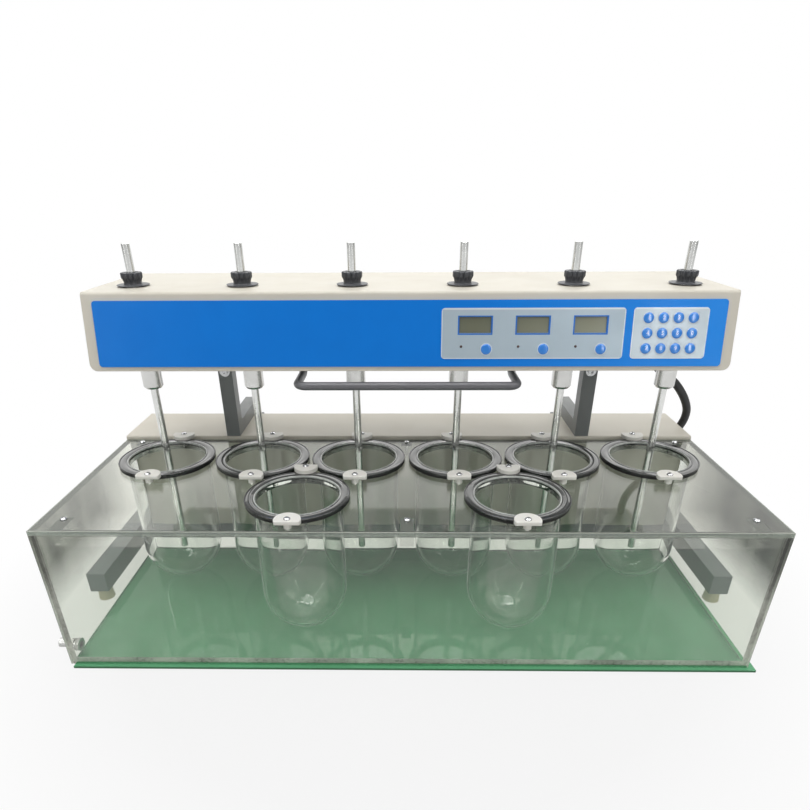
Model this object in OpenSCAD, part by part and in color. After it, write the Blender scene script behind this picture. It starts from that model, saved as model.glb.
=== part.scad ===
// Dissolution tester: a clear water tank with glass vessels, a rear housing
// behind it, and a tilting stirring head on two arms above the vessels.
// Millimetres. X runs along the row of shafts, Y from front to back, Z up.
// The origin is on the bench, under the middle of the row of shafts.

/* [Vessels] */
// Inside diameter of a vessel
vessel_id = 103; // [98:0.5:106]
// Glass wall of a vessel
vessel_wall = 3; // [2:0.5:4]
// Height of a vessel with its rim
vessel_h = 188; // [165:1:205]
// Width of the rim outside the glass wall
rim_w = 10; // [8:0.5:14]
// Thickness of the rim
rim_t = 2.5; // [2:0.5:5]
// Free space between neighbouring rims
rim_gap = 5; // [4:0.5:12]
// Thickness of the rubber seal under a rim
seal_t = 3.5; // [2:0.5:5]

/* [Tank] */
// Acrylic wall of the tank
tank_wall = 7; // [6:0.5:12]
// Acrylic floor of the tank
floor_t = 8; // [6:0.5:12]
// Thickness of the lid plate
lid_t = 6; // [5:0.5:12]
// From the outer rims to the tank's sides
tank_side = 25.5; // [20:0.5:60]
// From the front rims to the tank's front
tank_front = 16.5; // [15:0.5:60]
// From the back rims to the tank's back
tank_back = 10.5; // [10:0.5:40]
// Free space under the vessels
floor_gap = 5; // [2:0.5:20]
// Thickness of the mat under the tank
mat_t = 3; // [2:0.5:6]
// How much the mat is longer than the tank
mat_over = 3; // [0:0.5:20]
// How far the mat shows in front of the tank
mat_front = 5; // [0:0.5:10]
// How far the mat lies off to the right
mat_shift = 6.5; // [0:0.5:8]
// From the tank's sides and front to the lid screws
lid_screw_in = 28; // [22:0.5:40]
// Height of the blocks under the lid screws
block_h = 15; // [13:0.5:30]
// Glue line between the tank's sheets
glue = 0.1; // [0.05:0.05:0.3]

/* [Drain] */
// Bore of the drain
drain_bore = 9; // [6:0.5:12]
// Diameter of the drain's flanges
drain_flange_d = 16; // [15.5:0.5:24]
// Diameter of the hose spigot
spigot_d = 12; // [11.5:0.5:15]
// Length of the hose spigot
spigot_l = 16; // [12:1:40]
// Height of the drain above the tank floor
drain_rise = 13; // [12.5:0.5:60]

/* [Clips] */
// Radius of a vessel clip
clip_r = 15.4; // [13:0.1:15.7]
// Thickness of a vessel clip
clip_t = 5; // [3:0.5:8]
// From a rim's edge to the clip's screw
clip_out = 6.5; // [6:0.1:8]
// Space between a turned clip's flat and the rim
clip_free = 0.6; // [0.3:0.1:1.5]
// Diameter of the tank's screws
screw_d = 4; // [3:0.5:5]
// Diameter of their heads
screw_head_d = 8; // [7:0.5:9]
// Height of their heads
screw_head_h = 2.4; // [1.5:0.1:3.5]

/* [Rear housing] */
// Depth of the housing from front to back
housing_d = 104; // [95:1:160]
// Sheet of the housing
housing_wall = 2.5; // [1.5:0.5:4]
// How much the ledge is higher than the tank's lid
ledge_rise = 5; // [2:0.5:5.5]
// How much the housing is longer than the tank, each side
housing_over = 1; // [0:0.5:8]
// Gap between the tank and the housing
tank_clear = 1; // [0.5:0.5:6]
// Rounding of the housing's top edges
housing_r = 3; // [1:0.5:8]
// Thickness of the back panel
back_t = 3; // [2:0.5:5]
// Length of a louvre slot
louvre_l = 60; // [30:1:80]
// Louvre slots in each group
louvre_n = 6; // [3:1:8]

/* [Base frame] */
// Width of a rail
rail_w = 26; // [20:1:40]
// Height of a rail
rail_h = 30; // [20:1:34]
// Wall of the frame's tubes
frame_wall = 2.5; // [1.5:0.5:4]
// Gap between the housing's sides and the rails
rail_gap = 10; // [4:0.5:30]
// How far the rails run in front of the housing
rail_front = 140; // [60:1:240]
// How far the rails run behind the housing
rail_back = 50; // [30:1:120]
// From the housing's front and back to the channels under it
channel_in = 14; // [6:0.5:20]
// Diameter of a foot
foot_d = 22; // [16:1:26]
// Height of a foot
foot_h = 19; // [12:1:30]

/* [Arms and hinge] */
// Square tube of the arms
arm_w = 20; // [16:1:24]
// Wall of that tube
arm_wall = 2; // [1.5:0.5:3]
// From the second shaft to the arm beside it
arm_off = 61; // [50:1:75]
// From the ledge down to the hinge
pivot_drop = 20; // [16:1:40]
// From the housing's back to the hinge
pivot_back = 16; // [15:0.5:30]
// Diameter of a hinge pin
pin_d = 10; // [8:0.5:12]
// Thickness of a hinge bracket's cheeks and foot
cheek_t = 4; // [3:0.5:6]
// From the hinge down to a bracket's lower end
bracket_drop = 40; // [32:1:60]
// From the head's underside down to the arm screws
arm_screw_drop = 40; // [30:1:46]
// Diameter of the arm screws
arm_screw_d = 6; // [5:0.5:8]
// How far the head tips back, in degrees
tilt_max = 75; // [45:1:80]

/* [Head] */
// Height of the head
head_h = 87.5; // [80:0.5:120]
// Depth of the head at its top
head_d = 173; // [150:1:220]
// From the shafts to the lower front edge
head_front = 66; // [60:0.5:80]
// How far the front leans back at its top
head_lean = 18; // [8:0.5:24]
// From the end shafts to the head's ends
head_end = 43.5; // [34:0.5:80]
// Sheet of the head's cover
cover_t = 2.5; // [1.5:0.5:3.5]
// Rounding of the cover's edges
cover_r = 4; // [3.6:0.2:8]
// Rounding of the cover's lower corners
corner_r = 9; // [6:0.5:14]
// Free height between the ledge and the head
head_lift = 139.5; // [110:0.5:180]
// Thickness of the head's base plate
plate_t = 8; // [6:0.5:12]

/* [Front panel] */
// Sheet of the coloured front panel
panel_t = 1.5; // [1:0.25:3]
// Its margin to the head's ends
panel_side = 12.5; // [8:0.5:30]
// Its margin to the head's lower edge
panel_low = 5; // [4:0.5:10]
// Its margin to the head's upper edge
panel_high = 9.5; // [6:0.5:14]
// Rounding of its corners
panel_r = 4; // [2:0.5:10]
// Thickness of the membrane sheets
membrane_t = 0.6; // [0.4:0.1:1]
// Height of the membrane sheets
membrane_h = 57; // [54:0.5:60]
// Width of the display sheet
display_w = 211; // [195:1:230]
// Width of the keypad sheet
keypad_w = 86; // [78:1:100]
// Gap between the two sheets
membrane_gap = 9; // [5:0.5:20]
// From the keypad sheet to the panel's right end
keypad_side = 20.5; // [10:0.5:40]
// Width of a display window
lcd_w = 37; // [34:0.5:44]
// Height of a display window
lcd_h = 18; // [15:0.5:23]
// Distance between display windows
lcd_pitch = 66.5; // [64:0.5:70]
// Diameter of a raised key
key_d = 11.5; // [9:0.5:13]
// Distance between keys
key_pitch = 17.1; // [15:0.1:18]
// How far the keys stand up
key_h = 0.9; // [0.5:0.1:1.5]

/* [Handle] */
// Length of the lifting handle
handle_l = 277; // [200:1:320]
// Its bar
handle_d = 10; // [8:0.5:12]
// From the head's underside to the bar's middle
handle_drop = 18.5; // [18:0.5:30]
// How far the legs run back
handle_reach = 62; // [45:1:75]

/* [Drive] */
// Diameter of a stirring shaft
shaft_d = 10; // [9.4:0.1:10.4]
// Length of a stirring shaft
shaft_l = 420; // [400:1:440]
// How far a shaft stands above its knob
shaft_proud = 33; // [20:1:60]
// Outside diameter of a spindle
sleeve_d = 25; // [23:0.5:28]
// How far a spindle hangs below the head
sleeve_drop = 40; // [20:1:60]
// Diameter of a chuck knob
knob_d = 25; // [22:0.5:30]
// Height of a chuck knob
knob_h = 13; // [10:0.5:20]
// Diameter of the disc under a knob
skirt_d = 38; // [34:0.5:44]
// Diameter of the belt pulleys
pulley_d = 40; // [36:0.5:46]
// Width of the belt
belt_w = 10; // [6:0.5:12]
// Thickness of the belt
belt_t = 1.6; // [1:0.2:2.4]
// Diameter of the motor
motor_d = 56; // [40:1:70]
// Diameter of the cable conduit
conduit_d = 12; // [8:0.5:14]
// From the head's right end to the conduit
conduit_in = 20.5; // [16:0.5:30]

/* [Hidden] */
$fn = 64;
e = 0.01;            // overlap of a cut past a face
fit = 0.05;          // running clearance, on the radius
loose = 0.3;         // free clearance between pieces
shafts = 6;

// Vessels: a straight row under the shafts and two in front, closely packed
vessel_r = vessel_id / 2 + vessel_wall;
rim_r = vessel_r + rim_w;
pitch = 2 * rim_r + rim_gap;
row_step = pitch * sqrt(3) / 2;
row_x = [for (k = [0 : shafts - 1]) (k - (shafts - 1) / 2) * pitch];
vessel_at = concat([for (x = row_x) [x, 0]], [[-pitch, -row_step], [pitch, -row_step]]);
hole_r = vessel_r + 1;

// Heights, from the bench up
tank_z = mat_t;
floor_z = tank_z + floor_t;
vessel_z = floor_z + floor_gap;
rim_top = vessel_z + vessel_h;
lid_top = rim_top - rim_t - seal_t;
lid_z = lid_top - lid_t;
ledge_z = lid_top + ledge_rise;
plate_z = ledge_z + head_lift;
head_top = plate_z + head_h;
frame_top = foot_h + rail_h;

// Outlines in plan
tank_l = (shafts - 1) * pitch + 2 * (rim_r + tank_side);
tank_y0 = -row_step - rim_r - tank_front;
tank_y1 = rim_r + tank_back;
tank_d = tank_y1 - tank_y0;
housing_l = tank_l + 2 * housing_over;
housing_y0 = tank_y1 + tank_clear;
housing_y1 = housing_y0 + housing_d;
head_l = (shafts - 1) * pitch + 2 * head_end;
head_y0 = -head_front;
head_y1 = head_y0 + head_lean + head_d;

// Rails and feet
rail_x = housing_l / 2 + rail_gap;
rail_y0 = housing_y0 - rail_front;
rail_y1 = housing_y1 + rail_back;
foot_in = foot_d / 2 + 4;
channel_y = [housing_y0 + channel_in, housing_y1 - channel_in - rail_w];

// Clips
clip_off = rim_r + clip_out;
clip_flat = clip_out - clip_free;
lid_screw_at = [for (x = [-1, 0, 1], y = [tank_y0 + lid_screw_in, tank_y1 - tank_wall - screw_head_d / 2])
    [x * (tank_l / 2 - lid_screw_in), y]];

// Hinge behind the housing
arm_x = 1.5 * pitch + arm_off;
arm_y0 = housing_y0 + 1;
pivot_y = housing_y1 + pivot_back;
pivot_z = ledge_z - pivot_drop;
lug_r = pin_d / 2 + 4;
stop_r = 4;
stop_reach = 16;
stop_a = tilt_max + 0.6;

// The head's sloping front face
face_a = atan2(head_h, head_lean);
face_h = norm([head_h, head_lean]);
panel_h = face_h - panel_low - panel_high;
panel_l = head_l - 2 * panel_side;
membrane_low = panel_low + (panel_h - membrane_h) / 2;
membrane_mid = membrane_low + membrane_h / 2;
keypad_x = panel_l / 2 - keypad_side - keypad_w / 2;
display_x = keypad_x - keypad_w / 2 - membrane_gap - display_w / 2;
lcd_s = membrane_low + membrane_h * 0.67;
set_key_s = membrane_low + membrane_h * 0.19;
lcd_rim = 3;
lcd_depth = 6;
lcd_free = lcd_rim + loose;

// Drive inside the head
fillet = 12;
plate_top = plate_z + plate_t;
boss_h = 22;
boss_r = sleeve_d / 2 + 9;
flange_t = 1.5;
belt_in = pulley_d / 2 + loose + 0.05;
flange_r = belt_in + belt_t;
belt_z = head_top - cover_t - 6 - belt_w;
knob_z = head_top + 1.4;
skirt_t = 1.6;
stub_r = shaft_d / 2 + 2;
stub_h = skirt_t + knob_h - 3.4;
knob_top = knob_z + skirt_t + knob_h;
shaft_top = knob_top + shaft_proud;
post_plug = 54;
arm_screw_z = plate_z - arm_screw_drop;

// Route of the conduit from the head's underside into the housing's right wall: how far it is across
// from the one to the other, how far behind the housing's front, and how high in the free height
conduit_x = [head_l / 2 - conduit_in, housing_l / 2];
conduit_shape = [
    [0, 38, 1], [0, 38, 0.91], [0.04, 38, 0.8], [0.16, 39, 0.69], [0.31, 40.5, 0.625], [0.5, 43, 0.56],
    [0.69, 46, 0.49], [0.87, 50, 0.4], [1.03, 54, 0.3], [1.15, 58, 0.2], [1.205, 61, 0.12],
    [1.205, 63, 0.03], [1.155, 64, -0.05], [1.06, 64, -0.125], [0.93, 64, -0.185], [0.765, 64, -0.235]
];
conduit_route = [for (p = conduit_shape)
    [conduit_x[0] + (conduit_x[1] - conduit_x[0]) * p[0], housing_y0 + p[1], ledge_z + head_lift * p[2]]];
conduit_end = len(conduit_route) - 1;
conduit_sides = 12;
conduit_steps = 2;

// Points of a polygon with each corner rounded by its own radius
function unit(v) = v / norm(v);
function corner_points(p, c, n, r, steps) =
    let (a = unit(p - c), b = unit(n - c), half = acos(a * b) / 2, m = c + unit(a + b) * r / sin(half),
         s = m - a * (a * (m - c)) - c + a * (a * (m - c)), from = c + a * r / tan(half) - m,
         to = c + b * r / tan(half) - m, turn = atan2(from[0] * to[1] - from[1] * to[0], from * to))
    [for (i = [0 : steps]) let (t = turn * i / steps)
        m + [from[0] * cos(t) - from[1] * sin(t), from[0] * sin(t) + from[1] * cos(t)]];
function rounded(points, radii, steps = 6) = [
    for (i = [0 : len(points) - 1])
        let (c = points[i], last = len(points) - 1,
             p = points[i == 0 ? last : i - 1], n = points[i == last ? 0 : i + 1])
        each radii[i] > 0 ? corner_points(p, c, n, radii[i], steps) : [c]
];

// A plate of round-cornered outline, lying on z = 0
module round_plate(w, h, t, r) {
    linear_extrude(t)
        polygon(rounded([[-w, -h] / 2, [w, -h] / 2, [w, h] / 2, [-w, h] / 2], [r, r, r, r]));
}

// Carries children onto the head's front face: x along the head, y up the face, z out of it
module on_face(x = 0, s = 0, out = 0) {
    translate([0, head_y0, plate_z]) rotate([face_a, 0, 0]) translate([x, s, out]) children();
}

// Puts children at each end of the object, the left one mirrored
module both_sides() {
    children();
    mirror([1, 0, 0]) children();
}

// A round rod from one point to another and as far again past both
module rod_between(a, b, d) {
    along = b - a;
    translate((a + b) / 2) rotate([0, acos(along[2] / norm(along)), atan2(along[1], along[0])])
        cylinder(d = d, h = 3 * norm(along), center = true);
}

module pan_screw(length) {
    translate([0, 0, -length]) cylinder(d = screw_d, h = length + e);
    cylinder(d1 = screw_head_d, d2 = screw_head_d * 0.8, h = screw_head_h);
}

module tank_mat() {
    l = tank_l + mat_over;
    color("#3f8f5c") translate([mat_shift - l / 2, tank_y0 - mat_front, 0])
        cube([l, tank_d, mat_t]);
}

// Five sheets and the blocks for the lid screws, each one glue line from the next
module tank_body() {
    color("#b9c6bf", 0.4) difference() {
        union() {
            tank_walls();
            for (at = lid_screw_at) lid_block(at);
        }
        for (at = lid_screw_at)
            translate([at[0], at[1], lid_z - 12]) cylinder(d = screw_d + 2 * fit, h = 13);
        drain_place() cylinder(d = spigot_d + 2 * fit, h = 3 * tank_wall, center = true);
    }
}

// Front and back over the whole length, the sides between them and the floor inside all four
module tank_walls() {
    h = lid_z - tank_z;
    inset = tank_wall + glue;
    for (y = [tank_y0, tank_y1 - tank_wall])
        translate([-tank_l / 2, y, tank_z]) cube([tank_l, tank_wall, h]);
    both_sides() translate([tank_l / 2 - tank_wall, tank_y0 + inset, tank_z])
        cube([tank_wall, tank_d - 2 * inset, h]);
    translate([-tank_l / 2 + inset, tank_y0 + inset, tank_z])
        cube([tank_l - 2 * inset, tank_d - 2 * inset, floor_t]);
}

// A block from the nearest long wall to a little past the screw
module lid_block(at) {
    half = screw_d * 2;
    front = at[1] < 0;
    y0 = front ? tank_y0 + tank_wall + glue : at[1] - half;
    y1 = front ? at[1] + half : tank_y1 - tank_wall - glue;
    translate([at[0] - half, y0, lid_z - block_h]) cube([2 * half, y1 - y0, block_h]);
}

module tank_lid() {
    color("#c3cec8", 0.4) difference() {
        translate([-tank_l / 2, tank_y0, lid_z]) cube([tank_l, tank_d, lid_t]);
        for (at = vessel_at) translate([at[0], at[1], lid_z - e]) cylinder(r = hole_r, h = lid_t + 2 * e);
        for (at = concat(lid_screw_at, clip_screw_at))
            translate([at[0], at[1], lid_z - e]) cylinder(d = screw_d + 2 * fit, h = lid_t + 2 * e);
    }
}

clip_screw_at = [for (at = vessel_at, side = [-1, 1]) at + [0, side * clip_off]];

module tank_screws() {
    color("#d8dadb") {
        for (at = lid_screw_at) translate([at[0], at[1], lid_top]) pan_screw(lid_t + 10);
        for (at = clip_screw_at)
            translate([at[0], at[1], rim_top + clip_t]) pan_screw(rim_top + clip_t - lid_z);
    }
}

// Local z points out of the tank's left wall
module drain_place() {
    y = tank_y0 + tank_wall + drain_flange_d / 2 + 1;
    translate([-tank_l / 2 + tank_wall / 2, y, floor_z + drain_rise]) rotate([0, -90, 0]) children();
}

module drain_fitting() {
    half = tank_wall / 2;
    color("#c9cbc8") drain_place() difference() {
        union() {
            translate([0, 0, -half - 5]) cylinder(d = drain_flange_d, h = 5);
            translate([0, 0, -half - e]) cylinder(d = spigot_d, h = tank_wall + spigot_l + e);
            translate([0, 0, half]) cylinder(d = drain_flange_d, h = 4, $fn = 6);
        }
        translate([0, 0, -half - 5 - e]) cylinder(d = drain_bore, h = tank_wall + spigot_l + 5 + 2 * e);
    }
}

// One vessel: straight wall, round bottom and a flat rim, turned in one piece
module vessel() {
    in_r = vessel_id / 2;
    rotate_extrude() difference() {
        union() {
            translate([0, vessel_r]) square([vessel_r, vessel_h - vessel_r]);
            intersection() {
                translate([0, vessel_r]) circle(r = vessel_r);
                square([vessel_r, vessel_r + e]);
            }
            translate([0, vessel_h - rim_t]) square([rim_r, rim_t]);
        }
        translate([0, vessel_r]) square([in_r, vessel_h]);
        intersection() {
            translate([0, vessel_r]) circle(r = in_r);
            square([vessel_r, vessel_r + e]);
        }
    }
}

module vessels() {
    color("#d4ddda", 0.35) for (at = vessel_at) translate([at[0], at[1], vessel_z]) vessel();
}

module vessel_seals() {
    color("#1c1c1c") for (at = vessel_at) translate([at[0], at[1], lid_top]) difference() {
        cylinder(r = rim_r - 0.5, h = seal_t);
        translate([0, 0, -e]) cylinder(r = vessel_r + loose, h = seal_t + 2 * e);
    }
}

// A turn clip: a disc with one flat, on a boss as high as the rim. Its flat faces away from the vessel.
module clip(number, side) {
    at = clip_screw_at[2 * (number - 1) + (side + 1) / 2];
    boss_h = rim_top - lid_top;
    color("#f1efe6") translate([at[0], at[1], lid_top]) rotate([0, 0, side < 0 ? 180 : 0]) difference() {
        union() {
            cylinder(d = screw_d + 5, h = boss_h + e);
            translate([0, 0, boss_h]) intersection() {
                cylinder(r = clip_r, h = clip_t);
                translate([-clip_r, -clip_r, -e]) cube([2 * clip_r, clip_r + clip_flat, clip_t + 2 * e]);
            }
        }
        translate([0, 0, -e]) cylinder(d = screw_d + 2 * fit, h = boss_h + clip_t + 2 * e);
    }
}

// Side view of the housing, open towards the back
module housing() {
    inside_l = housing_l - 2 * housing_wall;
    h = ledge_z - frame_top;
    color("#dcd8c8") difference() {
        translate([-housing_l / 2, 0, 0]) rotate([90, 0, 90]) linear_extrude(housing_l)
            polygon(rounded([[housing_y0, frame_top], [housing_y1, frame_top], [housing_y1, ledge_z],
                             [housing_y0, ledge_z]], [0, 0, housing_r, housing_r]));
        translate([-inside_l / 2, housing_y0 + housing_wall, frame_top + housing_wall])
            cube([inside_l, housing_d, h - 2 * housing_wall]);
        rod_between(conduit_route[conduit_end - 2], conduit_route[conduit_end - 1], conduit_d + 1);
    }
}

module back_panel() {
    l = housing_l - 2 * housing_wall - 2 * loose;
    h = ledge_z - frame_top - 2 * housing_wall - 2 * loose;
    color("#d3cfbf") difference() {
        translate([-l / 2, housing_y1 - back_t, frame_top + housing_wall + loose]) cube([l, back_t, h]);
        for (x = [-1, 0, 1], k = [0 : louvre_n - 1])
            translate([x * pitch - louvre_l / 2, housing_y1 - back_t - e, frame_top + 25 + 10 * k])
                cube([louvre_l, back_t + 2 * e, 4]);
    }
}

module rail() {
    translate([rail_x, rail_y0, foot_h]) difference() {
        cube([rail_w, rail_y1 - rail_y0, rail_h]);
        translate([frame_wall, frame_wall, frame_wall])
            cube([rail_w - 2 * frame_wall, rail_y1 - rail_y0, rail_h - 2 * frame_wall]);
    }
}

// Two rails joined by two channels that carry the housing
module base_frame() {
    l = 2 * rail_x + 2;
    color("#8d9190") {
        both_sides() rail();
        for (y = channel_y) difference() {
            translate([-l / 2, y, foot_h]) cube([l, rail_w, rail_h]);
            translate([-rail_x, y + frame_wall, foot_h - e])
                cube([2 * rail_x, rail_w - 2 * frame_wall, rail_h - frame_wall + e]);
        }
    }
}

module frame_feet() {
    color("#ddd6b4") both_sides() for (y = [rail_y0 + foot_in, rail_y1 - foot_in])
        translate([rail_x + rail_w / 2, y, 0]) cylinder(d1 = foot_d, d2 = foot_d - 3, h = foot_h);
}

// A clevis on the housing's back with its pin and the bar that stops the arm
module hinge_bracket() {
    gap = arm_w / 2 + 0.5;
    back = stop_reach + 2 * stop_r;
    stop = [cos(stop_a), -sin(stop_a)] * (lug_r + stop_r) + [sin(stop_a), cos(stop_a)] * stop_reach;
    across = 2 * (gap + cheek_t);
    cheek = [[-pivot_back, -bracket_drop], [stop_r, -bracket_drop], [back, stop[1] - stop_r],
             [back, lug_r], [-pivot_back, lug_r]];
    translate([arm_x, pivot_y, pivot_z]) {
        for (s = [-1, 1]) translate([s * (gap + cheek_t / 2) - cheek_t / 2, 0, 0]) rotate([90, 0, 90])
            linear_extrude(cheek_t) polygon(rounded(cheek, [0, 3, 5, 5, 0]));
        translate([-across / 2, -pivot_back, -bracket_drop])
            cube([across, cheek_t, bracket_drop - lug_r - 1]);
        translate([-across / 2, 0, 0]) rotate([0, 90, 0]) cylinder(d = pin_d, h = across);
        translate([-across / 2, stop[0], stop[1]]) rotate([0, 90, 0]) cylinder(r = stop_r, h = across);
    }
}

module hinge_brackets() {
    color("#6f7374") both_sides() hinge_bracket();
}

// An L of square tube: a post at the ledge's front and a bar to the hinge lug behind the housing
module arm() {
    bar_l = pivot_y + lug_r - arm_y0;
    in_w = arm_w - 2 * arm_wall;
    color("#55595b") translate([arm_x - arm_w / 2, 0, 0]) difference() {
        union() {
            translate([0, arm_y0, ledge_z]) cube([arm_w, arm_w, head_lift]);
            translate([0, arm_y0, ledge_z]) cube([arm_w, bar_l, arm_w]);
            translate([0, pivot_y - lug_r, pivot_z]) cube([arm_w, 2 * lug_r, pivot_drop + e]);
            translate([0, pivot_y, pivot_z]) rotate([0, 90, 0]) cylinder(r = lug_r, h = arm_w);
        }
        translate([arm_wall, arm_y0 + arm_wall, ledge_z + arm_wall]) cube([in_w, in_w, head_lift]);
        translate([arm_wall, arm_y0 + arm_wall, ledge_z + arm_wall])
            cube([in_w, housing_y1 - arm_y0 - arm_wall, in_w]);
        translate([-e, pivot_y, pivot_z]) rotate([0, 90, 0])
            cylinder(d = pin_d + 2 * fit, h = arm_w + 2 * e);
        translate([arm_w / 2, arm_y0 - e, arm_screw_z]) rotate([-90, 0, 0])
            cylinder(d = arm_screw_d + 2 * fit, h = arm_wall + 2 * e);
    }
}

module left_arm() {
    mirror([1, 0, 0]) arm();
}

module right_arm() {
    arm();
}

// Socket screws and washers that clamp the posts to the head's plugs
module arm_screws() {
    color("#b9bcbd") both_sides() translate([arm_x, arm_y0, arm_screw_z]) rotate([90, 0, 0]) difference() {
        union() {
            translate([0, 0, -arm_wall - 8]) cylinder(d = arm_screw_d, h = arm_wall + 8 + e);
            cylinder(d = 15, h = 1.4);
            translate([0, 0, 1.4 - e]) cylinder(d = 9, h = 5);
        }
        translate([0, 0, 3.4]) cylinder(d = 5, h = 4, $fn = 6);
    }
}

// Side view of the head, set in from the outside by a wall
module head_side(inset) {
    lean_in = inset / sin(face_a);
    top = head_top - inset;
    front_top = head_y0 + head_lean * (top - plate_z) / head_h + lean_in;
    front_low = head_y0 + lean_in;
    back = head_y1 - inset;
    r = cover_r - inset;
    polygon(rounded([[front_low, plate_z], [back, plate_z], [back, top], [front_top, top]], [0, 0, r, r]));
}

// Front view of the head with its lower corners rounded
module head_face(inset) {
    w = head_l / 2 - inset;
    r = corner_r - inset;
    polygon(rounded([[-w, plate_z], [w, plate_z], [w, head_top], [-w, head_top]], [r, r, 0, 0]));
}

module head_block(inset) {
    intersection() {
        translate([-head_l / 2 + inset, 0, 0]) rotate([90, 0, 90])
            linear_extrude(head_l - 2 * inset) head_side(inset);
        translate([0, head_y1 + 1, 0]) rotate([90, 0, 0])
            linear_extrude(head_y1 - head_y0 + 2) head_face(inset);
    }
}

lcd_at = [for (k = [-1, 0, 1]) display_x + k * lcd_pitch];

module head_cover() {
    color("#e6e1d3") difference() {
        head_block(0);
        head_block(cover_t);
        translate([-head_l / 2 + corner_r, head_y0 + cover_t + 2, plate_z - e])
            cube([head_l - 2 * corner_r, head_y1 - head_y0 - 2 * cover_t - 2, plate_t]);
        for (x = row_x)
            translate([x, 0, head_top - 2 * cover_t]) cylinder(d = sleeve_d + 3, h = 3 * cover_t);
        for (x = lcd_at) on_face(x, lcd_s, -cover_t / 2)
            cube([lcd_w + 2 * lcd_free, lcd_h + 2 * lcd_free, 3 * cover_t], center = true);
    }
}

// Plate under the cover with a bearing boss for each spindle and a plug for each post
module head_plate() {
    y0 = head_y0 + cover_t + 2.5 + head_lean * plate_t / head_h;
    y1 = head_y1 - cover_t - loose;
    l = head_l - 2 * corner_r - 2 * loose;
    plug = arm_w - 2 * arm_wall - 2 * loose;
    color("#a9adae") difference() {
        union() {
            translate([-l / 2, y0, plate_z]) cube([l, y1 - y0, plate_t]);
            for (x = row_x) translate([x, 0, plate_top - e]) cylinder(r = boss_r, h = boss_h);
            both_sides() translate([arm_x - plug / 2, arm_y0 + arm_wall + loose, plate_z - post_plug])
                cube([plug, plug, post_plug + e]);
        }
        for (x = row_x) translate([x, 0, plate_z - e])
            cylinder(d = sleeve_d + 2 * fit, h = plate_t + boss_h + 1);
        both_sides() translate([arm_x, arm_y0, arm_screw_z]) rotate([-90, 0, 0])
            cylinder(d = arm_screw_d + 2 * fit, h = 16);
    }
}

module front_panel() {
    color("#1f6fd0") difference() {
        on_face(0, panel_low + panel_h / 2, 0) round_plate(panel_l, panel_h, panel_t, panel_r);
        lcd_windows();
    }
}

module lcd_windows() {
    for (x = lcd_at) on_face(x - lcd_w / 2, lcd_s - lcd_h / 2, -e)
        cube([lcd_w, lcd_h, panel_t + membrane_t + 1]);
}

// A raised key with a sloping edge
module key() {
    cylinder(d1 = key_d, d2 = key_d - 2 * key_h, h = key_h);
}

module display_panel() {
    color("#a9b4bc") difference() {
        union() {
            on_face(display_x, membrane_mid, panel_t)
                round_plate(display_w, membrane_h, membrane_t, panel_r);
            for (x = lcd_at) on_face(x + lcd_w * 0.36, set_key_s, panel_t + membrane_t - e) key();
        }
        lcd_windows();
    }
}

module keypad_panel() {
    color("#b4b9ba") {
        on_face(keypad_x, membrane_mid, panel_t) round_plate(keypad_w, membrane_h, membrane_t, panel_r);
        for (i = [0 : 3], j = [0 : 2])
            on_face(keypad_x + (i - 1.5) * key_pitch, membrane_mid + (j - 1) * key_pitch,
                    panel_t + membrane_t - e) key();
    }
}

// Display modules: a frame behind the front panel and a screen that stands in its window
module lcd_screens() {
    color("#8b8c76") for (x = lcd_at) {
        on_face(x - lcd_w / 2 - lcd_rim, lcd_s - lcd_h / 2 - lcd_rim, -lcd_depth)
            cube([lcd_w + 2 * lcd_rim, lcd_h + 2 * lcd_rim, lcd_depth]);
        on_face(x - lcd_w / 2 + loose, lcd_s - lcd_h / 2 + loose, -e)
            cube([lcd_w - 2 * loose, lcd_h - 2 * loose, 0.5]);
    }
}

// A quarter bend of the handle's bar from local +x to local +y
module bend() {
    rotate_extrude(angle = 90) translate([fillet, 0]) circle(d = handle_d);
}

// A bar across the front, legs that run back under the head and turn up to its plate
module handle() {
    bar_y = head_y0;
    z = plate_z - handle_drop;
    x = handle_l / 2 - handle_d / 2;
    leg_l = handle_reach - 2 * fillet;
    color("#77797c") {
        translate([-x + fillet, bar_y, z]) rotate([0, 90, 0]) cylinder(d = handle_d, h = 2 * (x - fillet));
        both_sides() {
            translate([x - fillet, bar_y + fillet, z]) rotate([0, 0, -90]) bend();
            translate([x, bar_y + fillet, z]) rotate([-90, 0, 0]) cylinder(d = handle_d, h = leg_l);
            translate([x, bar_y + fillet + leg_l, z + fillet]) rotate([0, 90, 0]) bend();
            translate([x, bar_y + handle_reach, z + fillet - e])
                cylinder(d = handle_d, h = handle_drop - fillet + e);
        }
    }
}

module motor() {
    top = belt_z - flange_t - 3;
    color("#7c8083") {
        translate([0, 0, plate_top]) cylinder(d = motor_d, h = top - plate_top - 4);
        translate([0, 0, top - 4 - e]) cylinder(d = motor_d * 0.5, h = 4);
        translate([0, 0, top - e]) cylinder(d = 8, h = flange_t + belt_w + 3);
    }
}

// A belt pulley with two thin flanges, on local z = 0 at the belt's lower edge
module pulley() {
    translate([0, 0, -flange_t - 0.5]) cylinder(r = flange_r, h = flange_t);
    translate([0, 0, -0.5 - e]) cylinder(d = pulley_d, h = belt_w + 1 + 2 * e);
    translate([0, 0, belt_w + 0.5]) cylinder(r = flange_r, h = flange_t);
}

module motor_pulley() {
    color("#c4c6c7") translate([0, 0, belt_z]) difference() {
        pulley();
        translate([0, 0, -flange_t - 1]) cylinder(d = 8 + 2 * fit, h = belt_w + 2 * flange_t + 2);
    }
}

// One belt round the end spindles that runs along the others and the motor
module drive_belt() {
    color("#26282a") translate([0, 0, belt_z]) difference() {
        belt_loop(belt_in + belt_t, belt_w);
        translate([0, 0, -e]) belt_loop(belt_in, belt_w + 2 * e);
    }
}

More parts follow.
